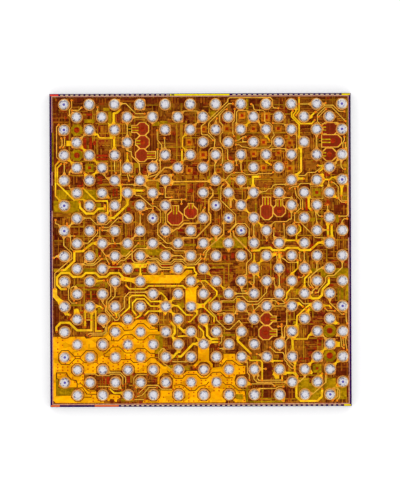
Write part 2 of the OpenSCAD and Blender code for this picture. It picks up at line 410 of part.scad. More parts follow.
WIDE = [
  // Rows A to F
  [[4.45, 0.4], [4.2, 0.63], [3.93, 0.7], [3.93, 1.5], [4, 2]],
  [[3.95, 2.2], [3.97, 3.5], [4, 4]],
  [[19, 3], [18.76, 3.35], [18.76, 5.3], [18, 6]],
  // Rows F to L
  [[1.2, 7.72], [1.25, 8.15], [1.72, 8.62], [2.3, 8.62], [2.7, 8.24], [3.2, 8.22]],
  [[3.2, 7.98], [3.2, 8.22]],
  [[5, 7], [5, 7.92], [3.92, 8.97], [3, 9]],
  [[5, 7], [5.45, 6.82], [6.28, 6.8]],
  [[8, 6], [8.42, 5.65], [8.6, 5.57]],
  [[8, 6], [8.5, 6.12], [8.45, 6.38]],
  [[3, 11], [2.2, 10.98], [1.6, 11.45]],
  [[15.5, 5.75], [14.95, 5.75], [14.95, 6.4], [15, 7]],
  [[13, 7], [13.17, 7.4], [13.17, 8.15]],
  [[18, 6], [18.5, 5.9], [18.98, 5.91]],
  [[20, 6], [20.42, 5.66], [20.6, 6], [20.35, 6.38], [20, 6]],
  [[19, 7], [19.35, 7.35], [19.37, 8.2], [19.57, 8.42]],
  [[21, 9], [20.86, 9.5], [20.88, 10.45]],
  [[21.17, 9.6], [21.17, 10.45], [21, 11]],
  [[22, 6], [21.98, 6.5], [21.95, 7.28]],
  [[21, 11], [20.45, 10.97], [20.1, 11], [19.6, 11.45]],
  // Rows L to R
  [[1.6, 11.45], [1.45, 11.6], [0.77, 11.62], [0.77, 12.38], [0.02, 13.08], [-0.22, 13.1]],
  [[0.1, 14.6], [-0.27, 14.6], [-0.6, 14.25], [-0.6, 13.65], [-0.28, 13.33], [0.37, 13.33], [0.67, 13.62], [1.35, 13.62],
    [1.68, 13.33], [2.45, 13.33], [2.75, 13.63], [3.3, 13.63], [3.6, 13.35], [4.3, 13.35], [4.75, 13.8]],
  [[0, 16], [0.1, 16.55], [0.42, 16.65]],
  [[14.83, 11.6], [15.4, 11.58], [15.6, 11.4], [16.3, 11.38], [16.47, 11.57], [17.4, 11.57], [17.63, 11.4], [18.5, 11.4],
    [18.67, 11.58], [19.45, 11.57], [19.6, 11.45]],
  [[14, 16], [13.73, 15.47]],
  [[11.55, 15.35], [10.95, 15.95]],
  [[20.93, 13.8], [20.93, 14.2], [20.45, 14.67], [20.38, 15.15], [20.1, 15.4], [19.6, 15.42], [19, 15]],
  [[19.37, 16.2], [19, 17]],
  [[21, 17], [21.4, 17.32], [21.67, 17.4]],
  // Rows R to X
  [[-0.65, 17.97], [-0.67, 17.62], [-0.33, 17.27], [0.37, 17.27], [0.97, 17.87], [2.1, 17.87], [2.12, 16.45], [2, 16]],
  [[8.35, 17.2], [8.7, 17.58], [8.7, 18.1], [8.5, 18.37], [9, 19]],
  [[9, 17], [9, 17.6], [9.4, 17.97], [10, 18]],
  [[11, 19], [10.15, 18.97], [9.2, 19.97], [8.9, 19.98]],
  [[9, 19], [9.02, 19.5], [8.6, 19.97], [8, 20]],
  [[10.7, 20.25], [10.2, 20.78]],
  [[11, 17], [11.27, 17.75], [11.27, 18.3], [11.6, 18.6], [12.2, 18.57]],
  [[11, 19], [11.5, 18.84], [12.2, 18.83]],
  [[14, 18], [13.67, 18.62], [13.72, 18.77], [14.72, 19.74]],
  [[14, 20], [14.62, 20.1]],
  [[14, 22], [14.7, 22.2]],
  [[17, 21], [17.4, 21.3], [18.12, 21.3], [18.4, 21.6], [18.33, 22.4], [18.33, 23.2], [18.67, 23.52], [20, 23.52],
    [20.35, 23.17], [20.38, 22.58]],
  [[18, 18], [18.05, 19.2], [18, 20]],
  [[19, 21], [19.42, 21.24]],
];
TRUNKS = [
  [[-0.77, 14.68], [-0.77, 15.15], [0, 16]],
  [[4.6, 13.8], [6, 14]],
  [[5, 13], [5.45, 12.76], [6.35, 12.76]],
  [[0.93, 16.32], [1, 17]],
  [[10, 16], [10.95, 15.95]],
  [[17, 21], [16.76, 21.3], [16.76, 21.6]],
  [[21, 19], [21.62, 19.04]],
];

// Copper blocks beside pads
BLOCKS = [[[3.42, 1.38], [3.6, 1.5], [4.3, 1.5], [4.3, 1.7], [4, 2], [4.1, 2.68], [3.6, 2.68], [3.6, 2.35], [3.5, 2.2],
    [3.5, 1.55]],
  [[0.17, 2.85], [0.8, 2.85], [0.8, 3.27], [0.17, 3.27]],
  [[8.3, 5.5], [8.58, 5.5], [8.5, 5.85], [8.66, 6.1], [8.62, 6.38], [8.3, 6.45]],
  [[0.72, 16.2], [1.1, 16.2], [1.1, 16.8], [0.72, 16.8]],
  [[16.62, 21.2], [16.97, 21.2], [16.97, 21.76], [16.62, 21.76]],
  [[21.2, 18.85], [21.8, 18.85], [21.8, 19.25], [21.2, 19.25]],
  [[17.6, 17.52], [18.52, 17.52], [18.52, 18.3], [18.1, 18.72], [17.92, 18.5], [17.6, 18.2]],
  [[13.58, 15.36], [13.9, 15.36], [13.9, 15.8], [13.58, 15.8]]];
// Corners and tips that flare a ball pad, as [column, row, places]: a to d clockwise from the upper left, then n e s w
CORNERS = [[4, 0, "b"], [6, 0, "bcd"], [12, 0, "c"], [20, 0, "e"], [1, 1, "a"], [3, 1, "a"], [5, 1, "adse"],
  [7, 1, "abws"], [9, 1, "abc"], [11, 1, "adne"], [15, 1, "acd"], [17, 1, "e"], [19, 1, "e"], [21, 1, "e"],
  [0, 2, "d"], [2, 2, "acd"], [4, 2, "abd"], [8, 2, "abc"], [10, 2, "abd"], [12, 2, "n"], [14, 2, "ab"],
  [16, 2, "s"], [18, 2, "acs"], [20, 2, "nes"], [1, 3, "abcd"], [5, 3, "adns"], [19, 3, "acd"],
  [2, 4, "d"], [4, 4, "a"], [8, 4, "abcd"], [10, 4, "a"], [12, 4, "s"], [14, 4, "bs"], [16, 4, "abs"],
  [18, 4, "abs"], [20, 4, "ns"], [22, 4, "b"],
  [1, 5, "abcd"], [3, 5, "abcd"], [5, 5, "bcdn"], [7, 5, "bdn"], [9, 5, "bcw"], [11, 5, "b"], [13, 5, "b"],
  [21, 5, "es"], [0, 6, "n"], [2, 6, "ab"], [4, 6, "bc"], [6, 6, "e"], [8, 6, "abcw"], [12, 6, "de"], [14, 6, "ws"],
  [18, 6, "cd"], [20, 6, "de"], [22, 6, "bc"],
  [1, 7, "ab"], [3, 7, "c"], [5, 7, "a"], [7, 7, "acd"], [11, 7, "b"], [13, 7, "n"], [15, 7, "ab"], [17, 7, "cde"],
  [21, 7, "c"], [0, 8, "a"], [2, 8, "a"], [4, 8, "bd"], [6, 8, "cs"], [8, 8, "bs"], [14, 8, "abc"],
  [18, 8, "bce"], [20, 8, "as"], [3, 9, "d"], [5, 9, "w"], [7, 9, "ns"], [11, 9, "dn"], [13, 9, "d"], [15, 9, "acs"],
  [21, 9, "a"], [0, 10, "abcs"], [2, 10, "b"], [4, 10, "w"], [6, 10, "dn"], [8, 10, "ns"], [10, 10, "bc"],
  [12, 10, "s"], [16, 10, "abs"], [18, 10, "b"], [20, 10, "ne"], [22, 10, "n"],
  [1, 11, "e"], [3, 11, "as"], [5, 11, "w"], [7, 11, "dw"], [9, 11, "bw"], [11, 11, "abd"], [13, 11, "ns"],
  [15, 11, "an"], [17, 11, "abw"], [19, 11, "w"], [21, 11, "ab"],
  [0, 12, "w"], [2, 12, "d"], [4, 12, "ews"], [6, 12, "e"], [8, 12, "e"], [10, 12, "ab"], [12, 12, "c"], [14, 12, "d"],
  [16, 12, "de"], [20, 12, "s"], [22, 12, "s"],
  [1, 13, "b"], [5, 13, "ab"], [9, 13, "w"], [11, 13, "ace"], [15, 13, "bcdn"], [17, 13, "ns"], [19, 13, "cn"],
  [21, 13, "w"], [2, 14, "e"], [4, 14, "s"], [6, 14, "n"], [12, 14, "ac"], [14, 14, "bs"], [16, 14, "sw"],
  [18, 14, "dns"], [20, 14, "s"], [22, 14, "s"],
  [11, 15, "ne"], [13, 15, "an"], [15, 15, "an"], [17, 15, "n"], [19, 15, "cn"],
  [0, 16, "s"], [2, 16, "cd"], [4, 16, "s"], [6, 16, "s"], [8, 16, "bcd"], [12, 16, "bc"], [14, 16, "acd"],
  [16, 16, "bdw"], [18, 16, "d"], [20, 16, "ew"],
  [1, 17, "w"], [3, 17, "s"], [9, 17, "as"], [11, 17, "s"], [13, 17, "b"], [15, 17, "anw"], [19, 17, "b"],
  [21, 17, "c"], [8, 18, "ac"], [10, 18, "cd"], [12, 18, "c"], [14, 18, "dn"], [18, 18, "abcd"], [20, 18, "bc"],
  [22, 18, "cd"], [9, 19, "as"], [13, 19, "cd"], [15, 19, "ac"], [17, 19, "bs"], [21, 19, "bcd"],
  [14, 20, "c"], [16, 20, "c"], [18, 20, "bc"], [20, 20, "c"], [22, 20, "c"],
  [9, 21, "a"], [15, 21, "n"], [17, 21, "cd"], [19, 21, "abc"], [21, 21, "abc"],
  [14, 22, "c"], [18, 22, "e"], [20, 22, "b"], [22, 22, "d"], [15, 23, "b"], [17, 23, "c"], [19, 23, "e"],
  [21, 23, "b"]];

// Supply and ground fields in grid steps
FIELDS = [
  // Wide supply plane of row O
  [[6.2, 13.5], [7.6, 13.5], [7.65, 13.28], [7.8, 13.28], [7.86, 13.5], [9.22, 13.5], [9.66, 13.12], [10.1, 13.12],
    [10.1, 13.38], [9.88, 13.4], [9.08, 14.17], [6.2, 14.17]],
  // Column joining rows O and Q at the tenth column
  [[9.57, 14.7], [9.75, 14.5], [10.3, 14.48], [10.5, 14.32], [10.63, 14.45], [10.43, 14.66], [10.43, 15.8], [9.57, 15.8]],
  // Supply field at the right of row T
  [[10.55, 19.2], [11.42, 19.2], [11.42, 20.3], [11.7, 20.58], [11.7, 20.98], [11.52, 20.98], [11.52, 20.66],
    [11.25, 20.4], [10.75, 20.4], [10.3, 20.87], [10.15, 20.7], [10.55, 20.3]],
  // Small ground island between two balls of the last row
  [[3.35, 23.1], [3.6, 22.95], [4.35, 23], [4.38, 23.2], [4.1, 23.38], [4.1, 23.56], [3.92, 23.5], [3.85, 23.33],
    [3.6, 23.3], [3.5, 23.5], [3.35, 23.45]],
];
GROUND_LEFT = [[-0.93, 18.38], [1.55, 18.38], [1.68, 18.53], [2, 18.5], [2.17, 18.4], [2.98, 18.38], [3.42, 17.97],
  [3.42, 17.62], [3.78, 17.25], [4.5, 17.25], [4.72, 17.45], [5.25, 17.45], [5.65, 17.05], [6.4, 17.05], [6.95, 17.6],
  [7.35, 17.72], [7.35, 17.98], [8, 18], [8, 18.2], [7.15, 18.22], [7.1, 20.1], [7.25, 20.25], [7.82, 20.75],
  [8.12, 20.75], [8.75, 21.35], [8.6, 21.6], [8.2, 21.15], [7.78, 21.15], [7.25, 21.63], [7.05, 21.53], [6.5, 21.27],
  [5.55, 21.27], [5.5, 21.06], [3.5, 21.06], [2.5, 21.27], [1.5, 21.27], [1.5, 22.1], [1.98, 22.6], [2.35, 22.6],
  [2.62, 22.9], [3.1, 23.25], [3.1, 23.62], [-0.75, 23.62], [-0.93, 23.42]];
GROUND_RIGHT = [[7.78, 21.15], [8.2, 21.15], [8.75, 21.3], [9.35, 21.4], [9.65, 21.12], [10.55, 21.12], [10.75, 21.3],
  [11.3, 21.3], [11.75, 20.87], [12.3, 20.82], [12.46, 20.66], [12.2, 20.5], [12.35, 20.35], [12.56, 20.17],
  [12.56, 19.78], [13.47, 19.78], [13.52, 20.25], [14, 20.58], [14.28, 20.72], [14.28, 21.38], [13.55, 21.42],
  [13.42, 21.9], [13.62, 22.25], [14, 22.6], [14.22, 22.75], [14.28, 23.2], [14.33, 23.62], [13.5, 23.62],
  [13.1, 23.25], [12.74, 23.5], [12.7, 23.62], [6.15, 23.62], [6.2, 23.45], [6.4, 23.4], [7.3, 23.4], [7.56, 23.1],
  [7.56, 22.66], [8.5, 22.66], [8.56, 21.75], [8.2, 21.27], [7.78, 21.27], [7.49, 21.6], [7.48, 22.18], [7.32, 22.18],
  [7.33, 21.52]];
// Window in the ground field and the supply island inside it
WINDOW = [[-0.72, 21.2], [0.15, 21.2], [0.25, 21.45], [0.52, 21.75], [0.9, 21.8], [1, 22.05], [1, 22.44], [0.75, 22.46],
  [0.75, 23.05], [-0.72, 23.05]];
ISLAND = [[-0.63, 21.28], [0.08, 21.28], [0.17, 21.52], [0.48, 21.82], [0.84, 21.88], [0.92, 22.1], [0.92, 22.38],
  [-0.38, 22.4], [-0.52, 22.3], [-0.45, 21.75], [-0.63, 21.65]];
GROUND_HOLE = [[13.5, 22.97], [14.1, 22.97], [14.1, 23.38], [13.6, 23.38], [13.45, 23.2]];
// Balls that stand clear of the ground fields
CLEAR = [[0, 18], [3, 19], [1, 21], [3, 21], [5, 21], [7, 21], [8, 22], [7, 23], [9, 23], [11, 23], [13, 23], [11, 21],
  [2, 22], [1, 23], [3, 23], [12, 20], [14, 22]];
// Gaps that part one net from the next inside the ground fields
GAPS = [
  [[-0.5, 19.75], [-0.25, 19.47], [0.27, 19.47], [0.72, 19.92], [1.28, 19.92], [1.7, 19.47], [2.27, 19.47],
    [2.55, 19.78], [2.55, 20.4], [1.5, 20.4], [1.22, 20.12], [0.8, 20.12], [0.35, 20.57], [-0.27, 20.57], [-0.5, 20.3],
    [-0.5, 19.75]],
  [[7.35, 17.8], [6.72, 17.8], [6.25, 17.35], [5.8, 17.35], [5.32, 17.85], [4.72, 17.9], [4.5, 17.6], [4.28, 17.45],
    [3.8, 17.5], [3.52, 17.8], [3.52, 18.2], [3.7, 18.42], [3.7, 18.7], [4.22, 18.72], [4.72, 18.25], [5.32, 18.22],
    [5.8, 18.65], [6.25, 18.65], [6.72, 18.25], [7.2, 18.25]],
  [[7.15, 19.75], [6.75, 19.7], [6.32, 19.32], [5.7, 19.32], [5.33, 19.68], [4.82, 19.68], [4.32, 19.2], [3.75, 19.2],
    [3.27, 19.68], [3.08, 19.75], [3.12, 19.97], [3.5, 19.98], [3.6, 20.28], [3.82, 20.47], [4.2, 20.47], [4.45, 20.2],
    [5.2, 20.2], [5.42, 20.43], [6.35, 20.43], [6.62, 20.2], [6.78, 20.05], [7.15, 20.08]],
  [[0.98, 22.12], [1.3, 22.12], [1.85, 22.68], [2.4, 22.68]],
  [[0.7, 22.45], [1.38, 22.42], [1.72, 22.92], [2.5, 22.95]],
  [[1.4, 23.17], [2.1, 23.17]],
  [[8.1, 21.1], [8.75, 21.72], [9.3, 21.7], [9.6, 21.4], [10.4, 21.38], [10.75, 21.72], [11.25, 21.7], [11.7, 21.25],
    [12.3, 21.22], [12.78, 21.68], [13.3, 21.68]],
  [[8.6, 22.25], [9.2, 22.2], [9.45, 22.32], [9.85, 22.68], [10.3, 22.68], [10.62, 22.35], [11.2, 22.22],
    [11.4, 21.98]],
  [[12.5, 22.02], [12.72, 22.22], [13.15, 22.2], [13.75, 22.7], [14.25, 22.7]],
  [[12.38, 20.84], [12.77, 20.33], [13.25, 20.3], [13.75, 20.68], [14.3, 20.7]]];
// Vias that stitch the ground fields to the metal below
STITCHES = [[-0.57, 18.45], [-0.18, 18.65], [-0.57, 18.85], [-0.18, 19.05], [-0.57, 19.35], [-0.57, 19.6], [0.88, 18.45],
  [1.13, 19.45], [1.02, 19.75], [0.8, 20.02], [1.22, 20.02], [1.02, 20.3], [0.6, 20.47], [1.42, 20.47], [-0.42, 20.28],
  [0.4, 20.25], [0.03, 20.48], [-0.57, 20.57], [-0.57, 20.83], [-0.57, 21.07], [-0.18, 20.77], [-0.18, 21.03],
  [0.22, 20.77], [0.22, 21.03], [-0.37, 21.37], [0.03, 21.4], [0.6, 21.65], [0.78, 21.97], [-0.4, 22.28], [1.2, 22.02],
  [0.95, 22.55], [1.4, 21.57], [1.4, 21.8], [1.45, 22.3], [1.6, 20.25], [2.45, 20.28], [1.82, 20.63], [2.22, 20.8],
  [1.82, 20.95], [2.22, 21.1], [2.6, 20.5], [3.03, 20.1], [3.03, 19.57], [3.55, 19.52], [3.15, 19.85], [3.45, 20.1],
  [3.02, 20.35], [3.42, 20.47], [3.82, 20.73], [4.22, 20.6], [4.22, 20.9], [3.82, 20.98], [4.62, 20.45], [3.82, 19.1],
  [4.18, 19.1], [4, 19.37], [4.42, 19.52], [4.6, 19.3], [4.98, 19.47], [4.8, 19.85], [5.2, 19.85], [4.8, 20.1],
  [5.2, 20.1], [4.98, 20.35], [4.6, 18.6], [3.85, 18.6], [4.38, 17.57], [4.97, 17.65], [4.97, 18.4], [5.4, 18.5],
  [5.8, 18.82], [6.2, 18.82], [6.2, 19.15], [5.4, 19.45], [5.98, 19.45], [5.55, 19.65], [6.45, 19.6], [6.85, 19.87],
  [6.4, 20.3], [5.8, 20.6], [6.2, 20.72], [5.8, 20.88], [6.2, 21.05], [5.8, 21.12], [6.6, 18.5], [7, 18.37],
  [6, 17.2], [6.8, 17.65], [7.2, 17.7], [2, 22.8], [2.1, 23.05], [2.22, 23.25], [2.22, 23.5], [2.62, 23.42], [3.85, 23.18],
  [4.2, 23.18], [8.38, 21.2], [8.6, 21.47], [9, 21.57], [9.4, 21.5], [9.8, 21.25], [10.2, 21.25], [8.8, 21.87],
  [9.2, 21.87], [8.8, 22.1], [9.2, 22.05], [8.7, 22.38], [9.05, 22.36], [9.38, 22.45], [9.6, 22.28], [10.4, 22.3],
  [10.02, 22.55], [10.2, 22.82], [9.8, 22.95], [10.2, 23.1], [9.8, 23.27], [9.8, 23.5], [10.2, 23.5], [10.6, 23.5],
  [9.4, 23.5], [8.6, 23.5], [8.2, 23.5], [8.22, 22.9], [7.8, 23.2], [7.4, 23.5], [6.62, 23.5], [6.3, 23.52],
  [10.8, 21.87], [11.15, 21.87], [10.8, 22.1], [11, 21.55], [11.1, 22.36], [11.57, 21.5], [12, 21.37], [12.4, 21.5],
  [11.4, 22.35], [11.8, 22.45], [12.2, 22.45], [11.8, 22.7], [12.2, 22.7], [11.4, 23.52], [12.57, 22.5], [12.85, 21.85],
  [13.2, 21.85], [12.85, 22.08], [13.2, 22.08], [13, 21.55], [13, 22.36], [13.4, 22.55], [13.4, 21.45], [13.8, 21],
  [13.8, 21.3], [14.15, 20.85], [14.15, 21.2], [12.8, 20.5], [13.27, 20.05], [13.45, 20.6], [12.4, 20.42],
  [13.8, 22.85], [14.18, 23.1], [14.2, 23.48], [9.72, 13.28], [10.02, 13.25], [7.72, 13.32], [10.55, 14.42],
  [7.1, 14.37], [8, 14.37], [8.9, 14.37], [6.35, 12.76], [10.22, 20.76], [11.6, 20.9]];

// Inductors as [centre, half size, direction of the leads, open core, window reach, window half width, lead end,
// Square guard traces as [centre, half size]
GUARDS = [[[20.01, 7], 0.48], [[22.2, 7.45], 0.22]];
// lead start]
COILS = [[[6.2, 1.93], [0.5, 0.52], 180, true, 0.85, 0.28, 1.12, 0.3],
  [[6.22, 2.98], [0.52, 0.52], 180, true, 0.57, 0.24, 0.72, 0.17],
  [[6.15, 4.01], [0.5, 0.51], 0, false, 1.1, 0.27, 1.05, 0.4],
  [[21, 4], [0.55, 0.5], 180, true, 0.6, 0.2, 0.6, 0.25],
  [[21.3, 2.93], [0.68, 0.49], 180, true, 0.9, 0.49, 1.15, 0.2],
  [[21.1, 1.96], [0.6, 0.48], 180, false, 0.65, 0.4, 0.65, 0.35],
  [[8.77, 9], [0.61, 0.55], 90, false, 0.98, 0.28, 0.95, 0.3],
  [[10.02, 8.54], [0.52, 0.51], 90, true, 0.7, 0.22, 0.85, 0.25],
  [[16.02, 8.5], [0.48, 0.66], 90, false, 1.13, 0.32, 1.1, 0.5],
  [[17.03, 8.42], [0.49, 0.5], 90, true, 0.87, 0.27, 0.9, 0.3],
  [[16, 17.02], [0.5, 0.49], 0, true, 0.75, 0.23, 1.1, 0.3],
  [[15.92, 18.11], [0.55, 0.55], 0, true, 0.88, 0.27, 1.28, 0.3]];

// Slanted straps
BANDS = [[[19.3, 13.3], [19.5, 13.45], [17.75, 15.2], [17.6, 15.05]], [[18.95, 14.15], [19.05, 14.4], [18.25, 15.25], [18, 15.15]],
  [[13.15, 13.3], [13.35, 13.3], [13.3, 13.95], [12.75, 14.55], [12.55, 14.45], [13.1, 13.85]]];
// Flush blocks of the circuit as [left, upper, right, lower] in grid steps
DARK = [[-0.85, -0.5, 8.1, -0.12], [-0.85, -0.1, -0.45, 6.3], [-0.85, 15.9, -0.3, 18.1], [5.4, 1.35, 7.35, 4.6],
  [8.05, 7.7, 10.75, 9.7], [15.3, 7.2, 17.75, 9.3], [20.4, 1.35, 22.35, 4.55], [15.3, 16.35, 17.55, 18.75], [-0.4, 0.65, 0.4, 1.5], [8.5, -0.5, 12.9, -0.1], [13.2, -0.4, 14.35, 0.35], [14.7, -0.4, 16.4, -0.05],
  [17, -0.5, 18.4, -0.2], [0.57, 5.65, 1.4, 6.35], [1.8, 6.5, 2.6, 6.72], [12.48, 11.7, 12.93, 12.35],
  [13.08, 11.7, 13.6, 12.35], [13.1, 14, 13.6, 14.42], [12.5, 15.75, 13.5, 15.92], [15.1, 13.95, 15.6, 14.6],
  [21.35, 8, 22.4, 8.75], [22.1, 8.95, 22.6, 10.6], [1.65, 14.75, 2, 15.45], [2.14, 14.75, 2.5, 15.45],
  [21.72, 16.75, 22.25, 17.4], [14.6, 17.7, 15.25, 18.4], [8.15, 18.6, 8.5, 19.05], [8.2, 19.4, 8.8, 19.75],
  [9.9, 20.75, 10.1, 21.08], [10.3, 20.92, 10.5, 21.08], [15.7, 20.5, 16.4, 21.75], [15.72, 22.62, 16.5, 23.28],
  [17.55, 22.55, 18.22, 23.3], [21.45, 20.52, 22.5, 21.5], [12.65, 19.55, 13.5, 19.7], [14.9, 22.25, 16.4, 22.45],
  [20.6, 16.75, 20.95, 17.3], [17.72, 18.65, 17.9, 19.1], [-1, 6.4, -0.82, 8.4], [-0.95, 9, -0.82, 12],
  [1.75, 17.1, 2.02, 17.75], [0.9, 17.5, 1.5, 17.72]];
OLIVE = [[-0.6, 6.76, 2.65, 7.5], [-0.85, 7.6, 1.15, 8.5], [2.5, 7.8, 2.9, 8.1], [2.72, 8.32, 3.2, 8.5],
  [1.6, 1.15, 2.4, 1.45], [3.1, 0.25, 3.6, 0.5], [3.5, 0.55, 3.75, 1.45], [8.2, -0.05, 8.48, 0.4], [10.2, -0.05, 10.45, 0.3],
  [7, 1.35, 7.55, 1.7], [7.6, 1.3, 8.2, 1.55], [5.55, 4.65, 5.9, 5], [11.6, -0.05, 12.4, 0.1], [11.6, 0.5, 12, 1],
  [14.4, -0.4, 14.6, 0.4], [13.7, 2.2, 13.95, 2.75], [-0.85, 13, 0.5, 13.24], [1.4, 13, 2.35, 13.22], [2.45, 11.4, 2.65, 12.1],
  [4.5, 11.3, 5.2, 12], [0.9, 14.22, 2.8, 14.4], [1.4, 14.6, 2.7, 14.7], [3.2, 14.1, 3.38, 14.5], [2.02, 14.74, 2.12, 15.45],
  [0.5, 15.8, 1.6, 15.95], [2.62, 16.1, 2.85, 16.5], [11.6, 10.55, 14.45, 11.4], [15.1, 7.85, 15.22, 8.6],
  [14.65, 5.85, 14.82, 6.4], [14.48, 5.75, 14.58, 6.5], [12.15, 6.6, 12.3, 7.1], [11.3, 5.7, 11.5, 6], [13.05, 5.72, 13.2, 6.4],
  [15.15, 9.45, 15.3, 9.68], [9.45, 11.05, 10.4, 11.22], [6.4, 11.45, 7.8, 11.95], [5.5, 11.15, 6.6, 11.32],
  [7.3, 6.15, 7.5, 6.9], [8.9, 15.7, 9.45, 16.1], [11.65, 12.87, 12.65, 12.98], [12.1, 15.15, 12.5, 15.3],
  [12.5, 15.6, 13.5, 15.72], [14.3, 15.2, 14.95, 15.4], [19.5, 13.02, 20.6, 13.3], [20.3, 13.3, 21.25, 13.72],
  [21.4, 13.02, 22.5, 13.8], [22.3, 13.8, 22.5, 15.6], [21.85, 14.55, 22.1, 15.55], [21.62, 14.6, 21.75, 15.6],
  [19.35, 16.1, 19.9, 16.4], [21.5, 8.8, 21.75, 9.4], [19.4, 9, 19.85, 9.3], [20.05, 9.05, 20.5, 9.15],
  [18.45, 9, 18.65, 9.3], [18.3, 14.65, 18.6, 15.1], [18.1, 17.2, 18.3, 17.4], [7.15, 18.3, 7.75, 19.75],
  [8.2, 20.65, 8.55, 20.85], [9.45, 20.85, 9.88, 21.08], [14.85, 19.95, 15.2, 20.2], [13.5, 22.97, 14.1, 23.38],
  [14.35, 22.3, 14.5, 23.6], [12.5, 18.2, 13.5, 18.35], [14.6, 23.28, 17.2, 23.36], [14.6, 23.5, 17.3, 23.64],
  [15.58, 22.6, 15.68, 23.25], [18.5, 21.7, 19.35, 23.4], [19.35, 22.1, 20.45, 23.4], [20.55, 21.7, 21.45, 23.4],
  [21.45, 22.35, 22.3, 23.4], [-0.7, 22.45, 0.72, 23.03], [-0.7, 21.75, -0.55, 22.45], [4.45, 23.3, 5.4, 23.5],
  [-1, 2.2, -0.86, 5.3], [22.38, -0.4, 22.5, 8.6], [18.6, 21.45, 20.2, 21.53]];
STRAPS = [[-0.9, 8.6, 0.55, 8.88], [-0.15, 9.05, 0.02, 9.6], [1.5, 8.78, 2.95, 9.02], [-0.52, 10.5, -0.45, 11.85],
  [0.28, 10.6, 0.36, 11.3], [4.38, 10.35, 4.52, 11.2], [4.95, 9.45, 5.03, 10.4], [5.76, 8.5, 5.84, 9.6], [6.6, 9.2, 6.68, 10.45],
  [1.12, 9.5, 1.2, 10.4], [1.58, 9.1, 1.66, 9.6], [6.4, 6.05, 7.35, 6.55], [7.7, 5.2, 8.2, 5.4], [11.95, 8.5, 12.04, 9.45],
  [12.72, 7.6, 12.82, 9.9], [14.38, 8.65, 14.48, 9.6], [13.35, 12.8, 13.85, 12.98], [13.85, 12.55, 14.28, 12.88],
  [13.55, 13.08, 14.28, 13.42], [12.3, 13.42, 12.92, 13.5], [12.2, 13.17, 12.82, 13.24], [12.1, 12.42, 13.5, 12.5],
  [15.55, 12.57, 16.2, 12.83], [15.55, 13.12, 16.2, 13.4], [8.7, 11.68, 9.5, 11.84], [5.5, 12.57, 5.6, 12.7],
  [17.7, 6.84, 18.2, 6.94], [18.9, 9.5, 19, 10.5], [19.1, 9.55, 19.22, 10.5], [22.05, 10.5, 22.16, 11.5], [21.28, 11.35, 21.38, 12.3],
  [21.72, 10.5, 21.8, 11.4], [20.5, 11.35, 20.58, 12.3], [19.15, 11.72, 19.25, 12.5], [21.55, 16.7, 21.7, 17.3],
  [4.2, 14.5, 4.65, 15], [7.78, 18.3, 7.95, 19.2], [8.02, 18.5, 8.08, 19.2], [16.55, 19.85, 16.95, 20.15],
  [18.25, 18.75, 18.4, 19.5], [18.5, 18.75, 18.62, 19.5], [18.72, 18.75, 18.82, 19.5], [18.55, 17.7, 18.95, 17.8],
  [19.62, 17.15, 20.4, 17.28], [19.62, 17.4, 20.4, 17.46], [2.6, 1.7, 2.7, 3.5], [2.9, 1.7, 3.1, 2.3], [3.2, 1.7, 3.3, 3.4],
  [8.7, 5.6, 9.3, 5.9], [9.45, 5.6, 10.1, 5.9], [10.3, 5.6, 10.55, 5.9], [10.7, 5.6, 11.1, 5.9], [15.6, 5.66, 16.28, 5.9],
  [16.5, 5.66, 16.9, 5.9], [17, 5.66, 17.3, 5.9], [15.4, 6.1, 15.5, 6.32], [15.72, 6.1, 15.82, 6.32], [16.05, 6.1, 16.15, 6.32],
  [9.1, 6.32, 9.2, 6.9], [9.72, 6.32, 9.84, 6.9], [10.2, 6.2, 10.3, 7], [8.6, 7.05, 10, 7.13], [8.7, 7.62, 9, 7.85],
  [9.1, 9.15, 9.9, 9.25], [20.5, 4.93, 20.56, 5], [19.1, 5.55, 19.3, 6.2], [14.55, 3.58, 15.45, 3.7], [3.5, 10.45, 3.58, 10.85],
  [10.8, 7.9, 10.9, 8.3], [9.6, 11.35, 10.3, 11.42], [7.95, 17.15, 8.2, 17.45], [10.3, 19.3, 10.42, 19.7],
  [10.2, 18.45, 10.35, 18.8], [5.25, 21.45, 5.3, 22.05], [5.6, 22.6, 5.65, 23.6], [5.8, 22.6, 5.86, 23.6], [2.93, 21.5, 3, 22.6],
  [3.18, 21.7, 3.25, 22.5], [2.78, 21.8, 2.84, 22.6], [13.3, 17.4, 13.5, 17.6], [12.55, 17.3, 12.75, 17.45]];
